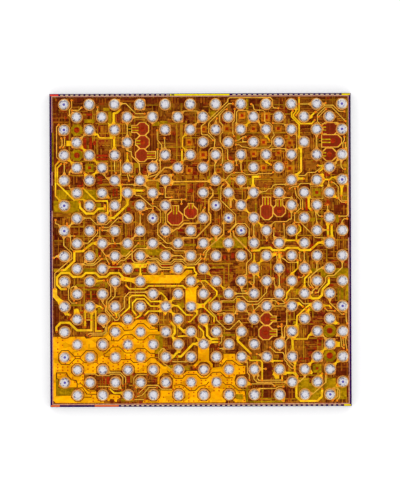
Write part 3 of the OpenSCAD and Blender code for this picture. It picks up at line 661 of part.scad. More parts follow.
CELLS = [[0.04, 0.95, 0.2, 1.15], [1.75, 0.7, 2.25, 0.88], [1.5, 2.6, 1.75, 3.5], [2, 2.6, 2.2, 3.5], [2.3, 2.85, 2.5, 3.2],
  [2.55, 3.95, 3.45, 4.12], [2.55, 4.22, 3.45, 4.4], [2.65, 5.7, 3, 5.85], [2.8, 5.92, 3, 6.08], [2.65, 6.15, 3, 6.3],
  [3.82, 6.65, 3.95, 7.25], [4.08, 6.65, 4.22, 7.25], [4.95, 8.15, 5.25, 8.42], [1.68, 14.98, 1.98, 15.08],
  [2.16, 14.98, 2.48, 15.08], [1.68, 15.3, 1.98, 15.4], [2.16, 15.3, 2.48, 15.4], [3.55, 12.92, 4.5, 13.04],
  [7.6, 12.73, 8.4, 12.83], [5.6, 13.05, 5.82, 13.2], [6.22, 13.02, 6.42, 13.3], [8.4, 10.35, 8.65, 10.45],
  [12.58, 7.57, 12.7, 7.68], [12.86, 7.57, 12.96, 7.68], [14.5, 7.6, 14.6, 7.7], [19.1, 7.5, 19.3, 8.5], [20.8, 7.55, 20.9, 7.85],
  [12.58, 11.95, 12.78, 12.25], [13.2, 11.8, 13.45, 12.2], [19.65, 12.55, 19.85, 12.65], [22.2, 12.5, 22.42, 12.62],
  [20.98, 14.28, 21.3, 14.45], [2.86, 21.55, 2.91, 22.15], [3.05, 21.55, 3.15, 22.15], [3.28, 21.55, 3.52, 22.15],
  [4.87, 21.55, 5.15, 22.05], [5.32, 21.3, 5.5, 21.45], [7.65, 22.32, 8.4, 22.48], [5.5, 22.8, 5.58, 23.1],
  [5.9, 22.5, 6.3, 22.7], [20, 18.5, 20.12, 18.72], [20.2, 18.5, 20.4, 18.6], [20, 19, 20.3, 19.15], [19.7, 19.3, 19.95, 19.45],
  [18.6, 20.1, 18.85, 20.22], [19, 20.1, 19.3, 20.25], [18.55, 20.35, 18.75, 20.45], [17.75, 16.5, 17.88, 16.68],
  [18.5, 13.35, 18.58, 13.45]];
// Framed cells as [centre, half size]
FRAMES = [[[9.9, 3], 0.27], [[11, 4], 0.3], [[9.9, 5.25], 0.27], [[11.05, 1.98], 0.24], [[12.9, 1.95], 0.26], [[14.1, 0.9], 0.27],
  [[15.97, 1.02], 0.36], [[15, 1.95], 0.26], [[15.8, 3.02], 0.26], [[15, 3.95], 0.26], [[15.8, 5.05], 0.27], [[12.2, 5.25], 0.2],
  [[16.97, 1.93], 0.26], [[16.97, 3.87], 0.24], [[17.87, 3.08], 0.26], [[17.87, 5.1], 0.26], [[17.6, 2.6], 0.14],
  [[17.6, 4.63], 0.14]];
// Ring-shaped guards as [centre, half size, half width of the hole]
RINGS = [[[1, 2], 0.45, 0.22], [[1, 4], 0.45, 0.22], [[2, 5], 0.32, 0.12], [[20.98, 17.97], 0.5, 0.23],
  [[20.98, 19.94], 0.48, 0.25], [[19.98, 20.95], 0.34, 0.1], [[20, 7], 0.3, 0.13], [[22.2, 7.45], 0.15, 0.05]];

// Helpers
function unit(v) = v / norm(v);
function across(a, b) = let (d = unit(b - a)) [-d.y, d.x];
function mitre(path, k) = let (last = len(path) - 1,
    before = across(path[max(k - 1, 0)], path[max(k, 1)]),
    after = across(path[min(k, last - 1)], path[min(k + 1, last)])
  ) (before + after) / (1 + before * after);
function ribbon(path, width) = concat(
  [for (k = [0:len(path) - 1]) path[k] + mitre(path, k) * width / 2],
  [for (k = [len(path) - 1:-1:0]) path[k] - mitre(path, k) * width / 2]);
function placed(path) = [for (p = path) place(p)];
function ends(routes) = [for (r = routes) for (e = [r[0], r[len(r) - 1]]) e];
function box_path(b) = [[b[0], b[1]], [b[2], b[1]], [b[2], b[3]], [b[0], b[3]]];
function octagon(c, h, cut) = [for (q = [[-1, -1, 1, 0], [1, -1, -1, 0], [1, -1, 0, 1], [1, 1, 0, -1], [1, 1, -1, 0],
  [-1, 1, 1, 0], [-1, 1, 0, -1], [-1, -1, 0, 1]]) [c.x + q[0] * h.x + q[2] * cut, c.y + q[1] * h.y + q[3] * cut]];
function square_of(c, h) = box_path([c.x - h, c.y - h, c.x + h, c.y + h]);

module shape(path) polygon(placed(path));
module blocks(list) for (b = list) shape(box_path(b));
module disc(p, d) translate(place(p)) circle(d = d, $fn = 48);
module slab(z, height) translate([0, 0, z]) linear_extrude(height) children();
module die_outline() square([die_w, die_l], center = true);

// A flared neck where a route leaves a ball pad
module neck(site, next, width) {
  a = place(site);
  d = unit(place(next) - a);
  n = [-d.y, d.x];
  polygon([a + n * pad_d * 0.42, a + d * pad_d * 0.72 + n * width * 0.5,
    a + d * pad_d * 0.72 - n * width * 0.5, a - n * pad_d * 0.42]);
}
module land(p, width) translate(place(p)) rotate(22.5) circle(d = max(width, via_d + 0.006) * 1.08, $fn = 8);
module routes(list, width) for (r = list) {
  last = len(r) - 1;
  polygon(ribbon(placed(r), width));
  if (is_site(r[0])) neck(r[0], r[1], width); else land(r[0], width);
  if (is_site(r[last])) neck(r[last], r[last - 1], width); else land(r[last], width);
}
module merged(grow = 0) offset(delta = grow) children();

// Ground fields parted by gaps and clearances
module ground_fields() {
  difference() {
    union() {
      shape(GROUND_LEFT);
      shape(GROUND_RIGHT);
    }
    shape(WINDOW);
    shape(GROUND_HOLE);
    for (c = CLEAR) shape(octagon(c, [0.52, 0.52], 0.3));
    for (g = GAPS) polygon(ribbon(placed(g), net_gap));
  }
  shape(ISLAND);
}
module plane_shapes() {
  ground_fields();
  for (f = FIELDS) shape(f);
}
module plane_outline() merged(0.0005) plane_shapes();

// Layers of the die
module back_film() {
  color([0.07, 0.07, 0.08]) difference() {
    slab(0, film_thickness) die_outline();
    translate([-die_w / 2 + 0.65, die_l / 2 - 0.65, -eps]) cylinder(d = 0.36, h = 0.006 + eps, $fn = 64);
  }
}
module silicon_die() {
  color([0.32, 0.30, 0.36]) slab(z_silicon, silicon_thickness) die_outline();
}

// Outline of the area inside the seal ring, and of the seal ring itself
module core_outline(grow) {
  translate([-die_w / 2 + 0.045 - grow, -die_l / 2 + 0.05 - grow])
    square([die_w - 0.09 + 2 * grow, die_l - 0.1 + 2 * grow]);
}

// Inductor outlines with the window for their leads
function coil_turn(coil) = [for (q = [[0, [1, 0]], [90, [0, -1]], [180, [-1, 0]]]) if (q[0] == coil[2]) q[1]][0];
module coil_bar(coil, from, to, side, half) {
  d = coil_turn(coil);
  n = [-d.y, d.x];
  shape([for (q = [[from, side - half], [to, side - half], [to, side + half], [from, side + half]])
    coil[0] + d * q[0] + n * q[1]]);
}
module coil_outline(coil, grow) {
  shape(octagon(coil[0], [coil[1].x + grow, coil[1].y + grow], 0.3));
  coil_bar(coil, 0, coil[4] + grow, 0, coil[5] + grow);
}
module lead_shapes(coil) for (s = [-0.12, 0.12]) coil_bar(coil, coil[7], coil[6], s, 0.05);
module core_shapes(coil) if (coil[3]) shape(octagon(coil[0], [0.2, 0.2], 0.12));

// Each flush layer keeps clear of the ones drawn before it
module lead_area() for (c = COILS) lead_shapes(c);
module coil_area() for (c = COILS) coil_outline(c, 0);
module ring_shape(r, half) shape(octagon(r[0], [half, half], half * (r[1] > 0.4 ? 0.55 : 0.12)));
module ring_area() for (r = RINGS) ring_shape(r, r[1]);
module strap_area() {
  blocks(STRAPS);
  for (b = BANDS) shape(b);
}
module frame_area() for (f = FRAMES) shape(square_of(f[0], f[1]));

module coil_leads() {
  color([0.70, 0.62, 0.04]) slab(z_copper - inlay_depth, inlay_depth) lead_area();
}
module coil_windings() {
  color([0.52, 0.12, 0.05]) slab(z_copper - inlay_depth, inlay_depth) difference() {
    coil_area();
    lead_area();
    for (c = COILS) core_shapes(c);
  }
}
module cell_frames() {
  color([0.88, 0.46, 0.06]) slab(z_copper - inlay_depth, inlay_depth) difference() {
    frame_area();
    for (f = FRAMES) shape(square_of(f[0], f[1] * 0.45));
    coil_area();
  }
}
module device_cells() {
  color([0.76, 0.10, 0.05]) slab(z_copper - inlay_depth, inlay_depth) {
    for (c = COILS) core_shapes(c);
    difference() {
      union() {
        for (f = FRAMES) shape(square_of(f[0], f[1] * 0.45));
        for (r = RINGS) ring_shape(r, r[2]);
      }
      coil_area();
    }
    difference() {
      blocks(CELLS);
      coil_area();
      frame_area();
      ring_area();
    }
  }
}
module shield_plates() {
  color([0.62, 0.55, 0.03]) slab(z_copper - inlay_depth, inlay_depth) difference() {
    union() {
      blocks(OLIVE);
      ring_area();
    }
    coil_area();
    frame_area();
    blocks(CELLS);
    for (r = RINGS) ring_shape(r, r[2]);
  }
}
module metal_straps() {
  color([0.66, 0.38, 0.06]) slab(z_copper - inlay_depth, inlay_depth) difference() {
    strap_area();
    coil_area();
    frame_area();
    blocks(CELLS);
    blocks(OLIVE);
    ring_area();
  }
}
module dark_fields() {
  color([0.30, 0.06, 0.03]) slab(z_copper - inlay_depth, inlay_depth) difference() {
    blocks(DARK);
    coil_area();
    frame_area();
    blocks(CELLS);
    blocks(OLIVE);
    strap_area();
    ring_area();
  }
}
module flush_area() {
  coil_area();
  frame_area();
  ring_area();
  blocks(CELLS);
  blocks(OLIVE);
  strap_area();
  blocks(DARK);
}
module circuit_stack() {
  color([0.44, 0.17, 0.04]) {
    slab(z_stack, stack_thickness - inlay_depth) die_outline();
    slab(z_copper - inlay_depth, inlay_depth) difference() {
      die_outline();
      seal_shape();
      dash_shapes();
      bar_shapes();
      flush_area();
    }
  }
}

// Scribe street
module seal_shape() difference() {
  core_outline(0);
  core_outline(-seal_w);
}
module dash_shapes() {
  for (k = [0:22]) shape(box_path([-0.3 + k * 0.4, -0.8, -0.06 + k * 0.4, -0.72]));
  for (k = [0:20]) shape(box_path([13.35 + k * 0.41, -0.8, 13.6 + k * 0.41, -0.72]));
  for (k = [0:43]) shape(box_path([4.45 + k * 0.4, 23.82, 4.66 + k * 0.4, 23.9]));
}
module bar_shapes() {
  shape(box_path([8.4, -0.82, 13.1, -0.7]));
  shape(box_path([22, -0.82, 22.65, -0.7]));
  shape(box_path([-1.12, -0.82, -0.45, -0.7]));
  shape(box_path([-1.12, 23.8, -0.42, 23.92]));
  shape(box_path([2.35, 23.8, 4.25, 23.92]));
  shape(box_path([22.1, 23.8, 22.65, 23.92]));
}
module seal_ring() {
  color([0.74, 0.50, 0.40]) slab(z_copper - inlay_depth, inlay_depth) seal_shape();
}
module street_test_pads() {
  color([0.80, 0.78, 0.62]) slab(z_copper - inlay_depth, inlay_depth) dash_shapes();
}
module street_bars() {
  color([0.93, 0.72, 0.10]) slab(z_copper - inlay_depth, inlay_depth) bar_shapes();
}

// Redistribution copper; each layer keeps clear of the ones drawn before it
module flare(p, turn, shape) translate(place(p)) rotate(turn) polygon(shape * pad_d / 2);
module corner_shapes() for (c = CORNERS) for (q = [0:3]) {
  if (len(search("abcd"[q], c[2])) > 0)
    flare([c[0], c[1]], 90 - 90 * q, [[0, 0], [0.92, 0], [0.92, 0.74], [0.74, 0.92], [0, 0.92]]);
  if (len(search("nesw"[q], c[2])) > 0)
    flare([c[0], c[1]], 90 - 90 * q, [[0, -0.8], [0.6, -0.8], [1.22, 0], [0.6, 0.8], [0, 0.8]]);
}
module pad_corners() {
  color([0.97, 0.60, 0.14]) slab(z_copper, copper_thickness) difference() {
    merged(-0.0004) difference() {
      corner_shapes();
      broad_shapes();
      plane_outline();
    }
    pad_discs();
  }
}
module broad_shapes() {
  for (b = BLOCKS) shape(b);
  routes(MEDIUM, medium_trace);
  routes(WIDE, wide_trace);
  routes(TRUNKS, trunk_trace);
}
module pad_discs() for (s = SITES) disc(s, pad_d);
module supply_planes() {
  color([1.0, 0.69, 0.06]) slab(z_copper, copper_thickness) plane_outline();
}
module ball_pads() {
  color([0.95, 0.62, 0.14]) slab(z_copper, copper_thickness) difference() {
    pad_discs();
    plane_outline();
  }
}
module supply_traces() {
  color([1.0, 0.72, 0.08]) slab(z_copper, copper_thickness) difference() {
    merged(-0.0004) difference() {
      broad_shapes();
      plane_outline();
    }
    pad_discs();
  }
}
function band(list, k) = [for (r = list) if (max(0, min(3, floor(r[0].y / 6))) == k) r];
module signal_traces(k) {
  color([0.94, 0.66, 0.16]) slab(z_copper, copper_thickness) difference() {
    merged(-0.0004) difference() {
      routes(band(FINE, k), fine_trace);
      for (m = [0:1:k - 1]) routes(band(FINE, m), fine_trace);
      broad_shapes();
      corner_shapes();
      plane_outline();
    }
    pad_discs();
  }
}
module coil_guards() {
  color([0.90, 0.70, 0.25]) slab(z_copper, copper_thickness) merged() difference() {
    union() {
      for (c = COILS) coil_outline(c, 0.035);
      for (g = GUARDS) shape(square_of(g[0], g[1] + 0.03));
    }
    for (c = COILS) coil_outline(c, -0.035);
    for (g = GUARDS) shape(square_of(g[0], g[1] - 0.03));
    for (s = SITES) disc(s, pad_d + 0.01);
    offset(delta = 0.005) {
      routes(FINE, fine_trace);
      broad_shapes();
      corner_shapes();
      plane_outline();
    }
  }
}
module via_caps() {
  color([1.0, 0.46, 0.12]) slab(z_pads, via_cap) {
    for (e = concat(ends(FINE), ends(MEDIUM), ends(WIDE))) if (!is_site(e)) disc(e, via_d);
    for (s = STITCHES) disc(s, stitch_d);
  }
}

// Ball seats and balls
module under_bump_pads() {
  color([0.70, 0.66, 0.58]) for (s = SITES)
    translate(concat(place(s), [z_pads])) cylinder(d = ubm_d, h = ubm_thickness, $fn = 64);
}
module ball(p) {
  translate(concat(place(p), [0])) difference() {
    translate([0, 0, z_top - ball_d / 2]) sphere(d = ball_d, $fn = 48);
    translate([0, 0, z_balls - ball_d]) cylinder(d = 2 * ball_d, h = ball_d, $fn = 24);
  }
}
module ball_row(j) {
  color([0.80, 0.80, 0.84]) for (s = SITES) if (s.y == j) ball(s);
}

back_film();
silicon_die();
circuit_stack();
dark_fields();
shield_plates();
metal_straps();
cell_frames();
device_cells();
coil_windings();
coil_leads();
seal_ring();
street_test_pads();
street_bars();
supply_planes();
ball_pads();
pad_corners();
supply_traces();
for (k = [0:3]) signal_traces(k);
coil_guards();
via_caps();
under_bump_pads();
for (j = [0:rows - 1]) ball_row(j);
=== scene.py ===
"""A bare-die ball grid array chip, lying on its back face and seen from above."""
import math
import random

import bpy
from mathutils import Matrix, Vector


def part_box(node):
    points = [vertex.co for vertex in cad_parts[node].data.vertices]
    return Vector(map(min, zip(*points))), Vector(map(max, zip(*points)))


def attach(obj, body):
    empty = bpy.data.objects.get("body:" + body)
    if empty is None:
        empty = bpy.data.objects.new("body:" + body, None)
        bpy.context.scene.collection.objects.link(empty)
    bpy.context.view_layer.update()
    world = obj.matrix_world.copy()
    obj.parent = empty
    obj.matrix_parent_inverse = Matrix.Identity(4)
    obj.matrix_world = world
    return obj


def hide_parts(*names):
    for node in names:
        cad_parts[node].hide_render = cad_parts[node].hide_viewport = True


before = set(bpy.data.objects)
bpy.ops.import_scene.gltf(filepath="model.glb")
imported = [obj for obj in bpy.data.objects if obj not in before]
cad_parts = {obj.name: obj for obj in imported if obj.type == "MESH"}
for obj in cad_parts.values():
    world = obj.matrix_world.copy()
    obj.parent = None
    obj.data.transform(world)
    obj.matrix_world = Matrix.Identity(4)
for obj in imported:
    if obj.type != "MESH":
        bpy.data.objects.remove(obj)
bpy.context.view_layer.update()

# Places and sizes, read from the CAD nodes
ROWS = ["solder_balls_row_" + chr(97 + j) for j in range(24)]
stack_low, stack_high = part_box("circuit_stack")
silicon_low, silicon_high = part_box("silicon_die")
row_a, row_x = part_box(ROWS[0]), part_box(ROWS[23])
ball_r = (row_a[1].y - row_a[0].y) / 2
top_y = (row_a[0].y + row_a[1].y) / 2
low_y = (row_x[0].y + row_x[1].y) / 2
STEP = (top_y - low_y) / 23
left_x = row_a[0].x + ball_r
FACE = stack_high.z
BALL_TOP = row_a[1].z
BALL_FOOT = row_a[0].z
RIM = (stack_high.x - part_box("seal_ring")[1].x) * 0.96

# Sites without a ball, and how deep the dimple is on the balls that have one
EMPTY = [(6, 2), (3, 3), (7, 3), (9, 3), (21, 3), (6, 4), (19, 5), (10, 6), (16, 6), (9, 7), (10, 8), (16, 8),
         (22, 8), (9, 9), (17, 9), (13, 13), (8, 14), (5, 15), (17, 17), (2, 18), (16, 18), (19, 19), (16, 22)]
SPECKED = {(0, 8): 0.5, (0, 10): 0.5, (7, 9): 0.4, (12, 8): 0.4, (13, 9): 0.4, (14, 10): 0.4, (22, 6): 0.5,
           (22, 16): 0.5, (0, 20): 0.5, (0, 22): 1.0, (22, 22): 1.0, (21, 23): 1.0, (0, 0): 0.9, (0, 2): 0.7,
           (22, 0): 1.0, (22, 2): 0.5}
# Centres of the coils, and the one with a bright heart
COILS = [(6.2, 1.93), (6.22, 2.98), (6.15, 4.01), (21, 4), (21.3, 2.93), (21.1, 1.96), (8.77, 9), (10.02, 8.54),
         (16.02, 8.5), (17.03, 8.42), (16, 17.02), (15.92, 18.11)]
BRIGHT_COIL = (10.02, 8.54, 0)


def place(i, j):
    """Grid steps to metres; columns count to the right and rows count down."""
    return left_x + i * STEP, top_y - j * STEP


# Materials
def tone(r, g, b):
    """An sRGB colour of 0 to 255 as a linear colour."""
    def one(c):
        c = c / 255
        return c / 12.92 if c <= 0.04045 else ((c + 0.055) / 1.055) ** 2.4
    return (one(r), one(g), one(b), 1.0)


class Graph:
    """A material's node tree, built from short calls."""

    def __init__(self, name, rough=0.6, metal=0.0, specular=0.2):
        self.mat = bpy.data.materials.new(name)
        self.mat.use_nodes = True
        self.tree = self.mat.node_tree
        self.tree.nodes.clear()
        self.shader = self.tree.nodes.new("ShaderNodeBsdfPrincipled")
        out = self.tree.nodes.new("ShaderNodeOutputMaterial")
        self.tree.links.new(self.shader.outputs[0], out.inputs["Surface"])
        self.shader.inputs["Roughness"].default_value = rough
        self.shader.inputs["Metallic"].default_value = metal
        self.shader.inputs["Specular IOR Level"].default_value = specular
        coords = self.put("ShaderNodeTexCoord").outputs["Object"]
        grid = self.put("ShaderNodeMapping", {"Vector": coords})
        grid.inputs["Scale"].default_value = (1 / STEP, -1 / STEP, 1 / STEP)
        grid.inputs["Location"].default_value = (-left_x / STEP, top_y / STEP, 0)
        self.grid = grid.outputs[0]
        split = self.put("ShaderNodeSeparateXYZ", {0: self.grid})
        self.i, self.j, self.k = split.outputs
        self.flat = self.put("ShaderNodeCombineXYZ", {0: self.i, 1: self.j}).outputs[0]

    def put(self, kind, ins=None, **props):
        """A new node; sockets among ins are linked to it and other values are set."""
        node = self.tree.nodes.new(kind)
        for name, value in props.items():
            setattr(node, name, value)
        for key, value in (ins or {}).items():
            if isinstance(value, bpy.types.NodeSocket):
                self.tree.links.new(value, node.inputs[key])
            else:
                node.inputs[key].default_value = value
        return node

    def math(self, op, a, b=0.0):
        return self.put("ShaderNodeMath", {0: a, 1: b}, operation=op).outputs[0]

    def span(self, value, low, high, to_low=0.0, to_high=1.0):
        """The value carried from low..high to to_low..to_high, and held at the ends."""
        node = self.put("ShaderNodeMapRange", {"Value": value, "From Min": low, "From Max": high,
                                               "To Min": to_low, "To Max": to_high})
        return node.outputs[0]

    def stretch(self, x, y, z=1.0):
        """Grid coordinates scaled on each axis."""
        node = self.put("ShaderNodeMapping", {"Vector": self.grid})
        node.inputs["Scale"].default_value = (x, y, z)
        return node.outputs[0]

    def noise(self, scale, detail=2.0, rough=0.5, vector=None):
        return self.put("ShaderNodeTexNoise", {"Vector": vector or self.grid, "Scale": scale, "Detail": detail,
                                               "Roughness": rough}).outputs[0]

    def cells(self, scale, vector=None, spread=1.0):
        """Angular blocks, each with its own value from 0 to 1."""
        node = self.put("ShaderNodeTexVoronoi", {"Vector": vector or self.grid, "Scale": scale,
                                                 "Randomness": spread}, distance="CHEBYCHEV")
        return self.put("ShaderNodeSeparateColor", {0: node.outputs["Color"]}).outputs[0]

    def mix(self, share, a, b, blend="MIX"):
        node = self.put("ShaderNodeMix", {}, data_type="RGBA", blend_type=blend)
        for key, value in ((0, share), (6, a), (7, b)):
            if isinstance(value, bpy.types.NodeSocket):
                self.tree.links.new(value, node.inputs[key])
            else:
                node.inputs[key].default_value = value
        return node.outputs[2]

    def ramp(self, value, stops, hard=False):
        """A colour for each value, stepped where hard and blended otherwise."""
        node = self.put("ShaderNodeValToRGB", {0: value})
        ramp = node.color_ramp
        ramp.interpolation = "CONSTANT" if hard else "LINEAR"
        while len(ramp.elements) < len(stops):
            ramp.elements.new(0.5)
        for element, (at, colour) in zip(ramp.elements, stops):
            element.position = at
            element.color = colour
        return node.outputs[0]

    def outside(self, axis, inset):
        """1 within inset metres of the die's edge across the axis, 0 further in."""
        where = self.put("ShaderNodeSeparateXYZ", {0: self.put("ShaderNodeTexCoord").outputs["Object"]}).outputs[axis]
        return self.math("GREATER_THAN", self.math("ABSOLUTE", where), stack_high[axis] - inset)

    def random(self, a, b, seed):
        """A value from 0 to 1 that stays the same for the same a, b and seed."""
        spot = self.put("ShaderNodeCombineXYZ", {0: a, 1: b, 2: seed}).outputs[0]
        return self.put("ShaderNodeTexWhiteNoise", {"Vector": spot}, noise_dimensions="3D").outputs["Value"]

    def strands(self, axis, pitch, length, share, seed):
        """Line segments that run across axis: 0 off the lines, and a random 0 to 1 on each segment."""
        across, along = (self.i, self.j) if axis == "i" else (self.j, self.i)
        turn = self.math("DIVIDE", across, pitch)
        lane = self.math("FLOOR", turn)
        shift = self.math("MULTIPLY", self.random(lane, 0.0, seed), 9.0)
        part = self.math("FLOOR", self.math("ADD", self.math("DIVIDE", along, length), shift))
        on = self.math("LESS_THAN", self.math("SUBTRACT", turn, lane), share)
        return self.math("MULTIPLY", self.random(lane, part, seed + 0.5), on)

    def near_ball(self, inner, outer):
        """1 close to the centre of a place in the staggered grid, 0 from outer steps on."""
        def to_lattice(shift):
            parts = []
            for value in (self.i, self.j):
                half = self.math("DIVIDE", self.math("SUBTRACT", value, shift), 2.0)
                part = self.math("MULTIPLY", self.math("SUBTRACT", half, self.math("ROUND", half)), 2.0)
                parts.append(self.math("MULTIPLY", part, part))
            return self.math("SQRT", self.math("ADD", parts[0], parts[1]))
        return self.span(self.math("MINIMUM", to_lattice(0.0), to_lattice(1.0)), outer, inner)

    def uneven(self, value, scale, low, high):
        """The colour with blocks of it darker and brighter, by a factor from low to high."""
        factor = self.span(self.cells(scale, self.stretch(1.0, 1.4)), 0.0, 1.0, low, high)
        return self.mix(1.0, value, self.put("ShaderNodeCombineColor", {0: factor, 1: factor, 2: factor}).outputs[0],
                        "MULTIPLY")

    def colour(self, value):
        if isinstance(value, bpy.types.NodeSocket):
            self.tree.links.new(value, self.shader.inputs["Base Color"])
        else:
            self.shader.inputs["Base Color"].default_value = value

    def rough(self, value):
        self.tree.links.new(value, self.shader.inputs["Roughness"])

    def bump(self, height, distance, strength=0.5):
        node = self.put("ShaderNodeBump", {"Height": height, "Distance": distance})
        node.inputs["Strength"].default_value = strength
        self.tree.links.new(node.outputs[0], self.shader.inputs["Normal"])


def inlay(name, base, alt, line, pitch=0.16, axis="i", amount=0.6):
    """A flush circuit area: blocks of two tones, runs of fine lines and a cloudy grain."""
    g = Graph(name, rough=0.55, specular=0.0)
    c = g.mix(g.span(g.cells(1.4), 0.2, 0.9), base, alt)
    c = g.mix(g.span(g.strands(axis, pitch, 0.9, 0.5, 7.0), 0.35, 1.0, 0.0, amount), c, line)
    c = g.mix(g.span(g.strands("j" if axis == "i" else "i", 0.33, 1.7, 0.35, 8.0), 0.7, 1.0, 0.0, amount), c, line)
    c = g.mix(g.span(g.noise(5.0, 3.0, 0.6), 0.38, 0.68, 0.0, 0.3), c, tone(40, 6, 0))
    c = g.uneven(c, 3.4, 0.72, 1.3)
    g.colour(c)
    g.bump(g.noise(40.0, 2.0), 0.0000006, 0.4)
    return g.mat


def stack_material():
    """Metal layers under the glass: brown blocks, level and upright runs of dull gold and orange lines."""
    g = Graph("wiring_stack", rough=0.55, specular=0.0)
    blocks = [(0.0, tone(142, 72, 18)), (0.2, tone(118, 40, 12)), (0.4, tone(162, 92, 20)),
              (0.55, tone(132, 50, 14)), (0.7, tone(154, 80, 18)), (0.86, tone(138, 40, 18))]
    c = g.ramp(g.cells(0.9, g.stretch(1.0, 0.8), 0.9), blocks, hard=True)
    c = g.mix(g.span(g.cells(4.2, g.stretch(1.0, 1.7), 0.8), 0.5, 1.0, 0.0, 0.7), c, tone(184, 108, 20))
    c = g.mix(g.span(g.cells(5.1, g.stretch(1.9, 0.8)), 0.62, 1.0, 0.0, 0.85), c, tone(82, 22, 8))
    way = g.cells(1.1, g.stretch(1.0, 1.0), 0.9)
    upright = g.math("LESS_THAN", way, 0.52)
    level = g.math("SUBTRACT", 1.0, upright)
    for axis, share, seed, pitch in (("i", upright, 1.0, 0.17), ("j", level, 2.0, 0.16)):
        runs = g.math("MULTIPLY", g.strands(axis, pitch, 1.3, 0.42, seed), share)
        c = g.mix(g.span(runs, 0.3, 0.9, 0.0, 0.95), c, tone(204, 134, 26))
        dim = g.math("MULTIPLY", g.strands(axis, pitch * 1.6, 0.8, 0.5, seed + 10.0), share)
        c = g.mix(g.math("MULTIPLY", g.math("GREATER_THAN", dim, 0.68), 0.75), c, tone(84, 18, 8))
    for axis, seed in (("i", 3.0), ("j", 4.0)):
        runs = g.strands(axis, 0.37, 2.3, 0.26, seed)
        c = g.mix(g.math("MULTIPLY", g.math("GREATER_THAN", runs, 0.78), 0.85), c, tone(196, 140, 18))
    spots = g.span(g.cells(2.3, g.stretch(1.0, 1.4)), 0.93, 0.99, 0.0, 0.6)
    c = g.mix(spots, c, tone(190, 30, 14))
    edge = g.math("MINIMUM", g.span(g.i, -0.6, 0.2), g.span(g.j, -0.5, 1.2))
    c = g.mix(g.span(edge, 0.0, 1.0, 0.5, 0.0), c, tone(60, 4, 6))
    c = g.mix(g.span(g.noise(24.0, 3.0, 0.7), 0.35, 0.75, 0.0, 0.2), c, tone(40, 8, 0))
    # Painted shade: where ambient occlusion finds raised copper walls close by, the layers are darkened into a dark
    # halo beside the traces.
    shade = g.put("ShaderNodeAmbientOcclusion", {"Distance": 0.00002}, samples=6).outputs["AO"]
    c = g.mix(g.span(shade, 0.99, 0.72, 0.0, 0.75), c, tone(70, 14, 4))
    rim = g.math("MAXIMUM", g.outside(0, RIM), g.outside(1, RIM))
    c = g.mix(rim, c, g.mix(g.span(g.noise(5.0, 2.0), 0.4, 0.6), tone(38, 12, 84), tone(66, 26, 78)))
    c = g.uneven(c, 2.6, 0.78, 1.22)
    g.colour(c)
    g.bump(g.cells(4.2, g.stretch(1.0, 1.7), 0.8), 0.0000008, 0.3)
    return g.mat


def coil_material():
    """Coil windings: dull red squares with a redder heart; one heart is bright and the right-hand coils are dark."""
    g = Graph("coil_windings", rough=0.55, specular=0.0)
    nearest = None
    for i, j in COILS:
        gap = g.put("ShaderNodeVectorMath", {0: g.flat, 1: (i, j, 0)}, operation="DISTANCE").outputs["Value"]
        nearest = gap if nearest is None else g.math("MINIMUM", nearest, gap)
    c = g.ramp(nearest, [(0.0, tone(170, 44, 20)), (0.12, tone(150, 50, 18)), (0.3, tone(150, 52, 18)),
                         (0.42, tone(166, 48, 24)), (0.55, tone(172, 50, 24))])
    bright = g.put("ShaderNodeVectorMath", {0: g.flat, 1: BRIGHT_COIL}, operation="DISTANCE").outputs["Value"]
    c = g.mix(g.span(bright, 0.34, 0.2, 0.0, 0.9), c, tone(206, 30, 30))
    c = g.mix(g.span(g.strands("i", 0.2, 0.9, 0.5, 7.0), 0.35, 1.0, 0.0, 0.3), c, tone(190, 92, 26))
    c = g.mix(g.span(g.noise(7.0, 3.0, 0.6), 0.42, 0.7, 0.0, 0.3), c, tone(70, 16, 6))
    c = g.mix(g.math("MULTIPLY", g.math("GREATER_THAN", g.i, 19.0), 0.3), c, tone(56, 20, 6))
    g.colour(c)
    g.bump(g.noise(40.0, 2.0), 0.0000006, 0.4)
    return g.mat


def copper_material(name, base, warm, edge, low_tone, cloud=0.45, grain=0.3, low_corner=None, tan=None):
    """Copper under its clear coat: golden faces, orange close to the balls (painted shade from the balls on traces
    and planes, a paler tone on the pads), cloudy grain, and edges darkened with painted shade.

    tan is the tone of the upper middle of the die, and low_corner that of the lower left.
    """
    g = Graph(name, rough=0.45, metal=0.3, specular=0.0)
    c = g.mix(g.span(g.noise(1.1, 3.0), 0.35, 0.65), base, warm)
    if tan:
        across = g.math("MULTIPLY", g.span(g.i, 6.3, 7.0), g.span(g.i, 14.8, 14.2))
        down = g.math("MULTIPLY", g.span(g.j, 4.2, 4.8), g.span(g.j, 12.2, 11.6))
        c = g.mix(g.math("MULTIPLY", across, down), c, tan)
    if low_corner:
        slope = g.math("SUBTRACT", g.j, g.math("MULTIPLY", g.i, 0.35))
        c = g.mix(g.span(slope, 7.0, 16.0, 0.0, 0.75), c, low_corner)
    # Painted shade: in a ring around each ball the traces and planes take the darker orange edge tone, as if shaded
    # by the ball; on the pads the edge tone is paler.
    c = g.mix(g.math("MULTIPLY", g.near_ball(0.5, 0.72), 0.7), c, edge)
    c = g.mix(g.span(g.noise(4.5, 3.0, 0.6), 0.42, 0.72, 0.0, cloud), c, low_tone)
    c = g.mix(g.span(g.noise(22.0, 4.0, 0.7), 0.4, 0.8, 0.0, grain), c, low_tone)
    c = g.uneven(c, 1.6, 1.0 - grain * 0.45, 1.0 + grain * 0.75)
    # Painted shade: where the bevelled normal tilts away from the face, at the copper's edges, the colour is darkened
    # towards low_tone, as the sloped sides would be shaded.
    bevel = g.put("ShaderNodeBevel", {"Radius": 0.000007}, samples=4)
    face = g.put("ShaderNodeNewGeometry").outputs["True Normal"]
    turn = g.put("ShaderNodeVectorMath", {0: bevel.outputs[0], 1: face}, operation="DOT_PRODUCT")
    c = g.mix(g.span(turn.outputs["Value"], 0.995, 0.8, 0.0, 0.8), c, low_tone)
    g.colour(c)
    g.bump(g.noise(35.0, 3.0, 0.6), 0.0000012, 0.35)
    return g.mat


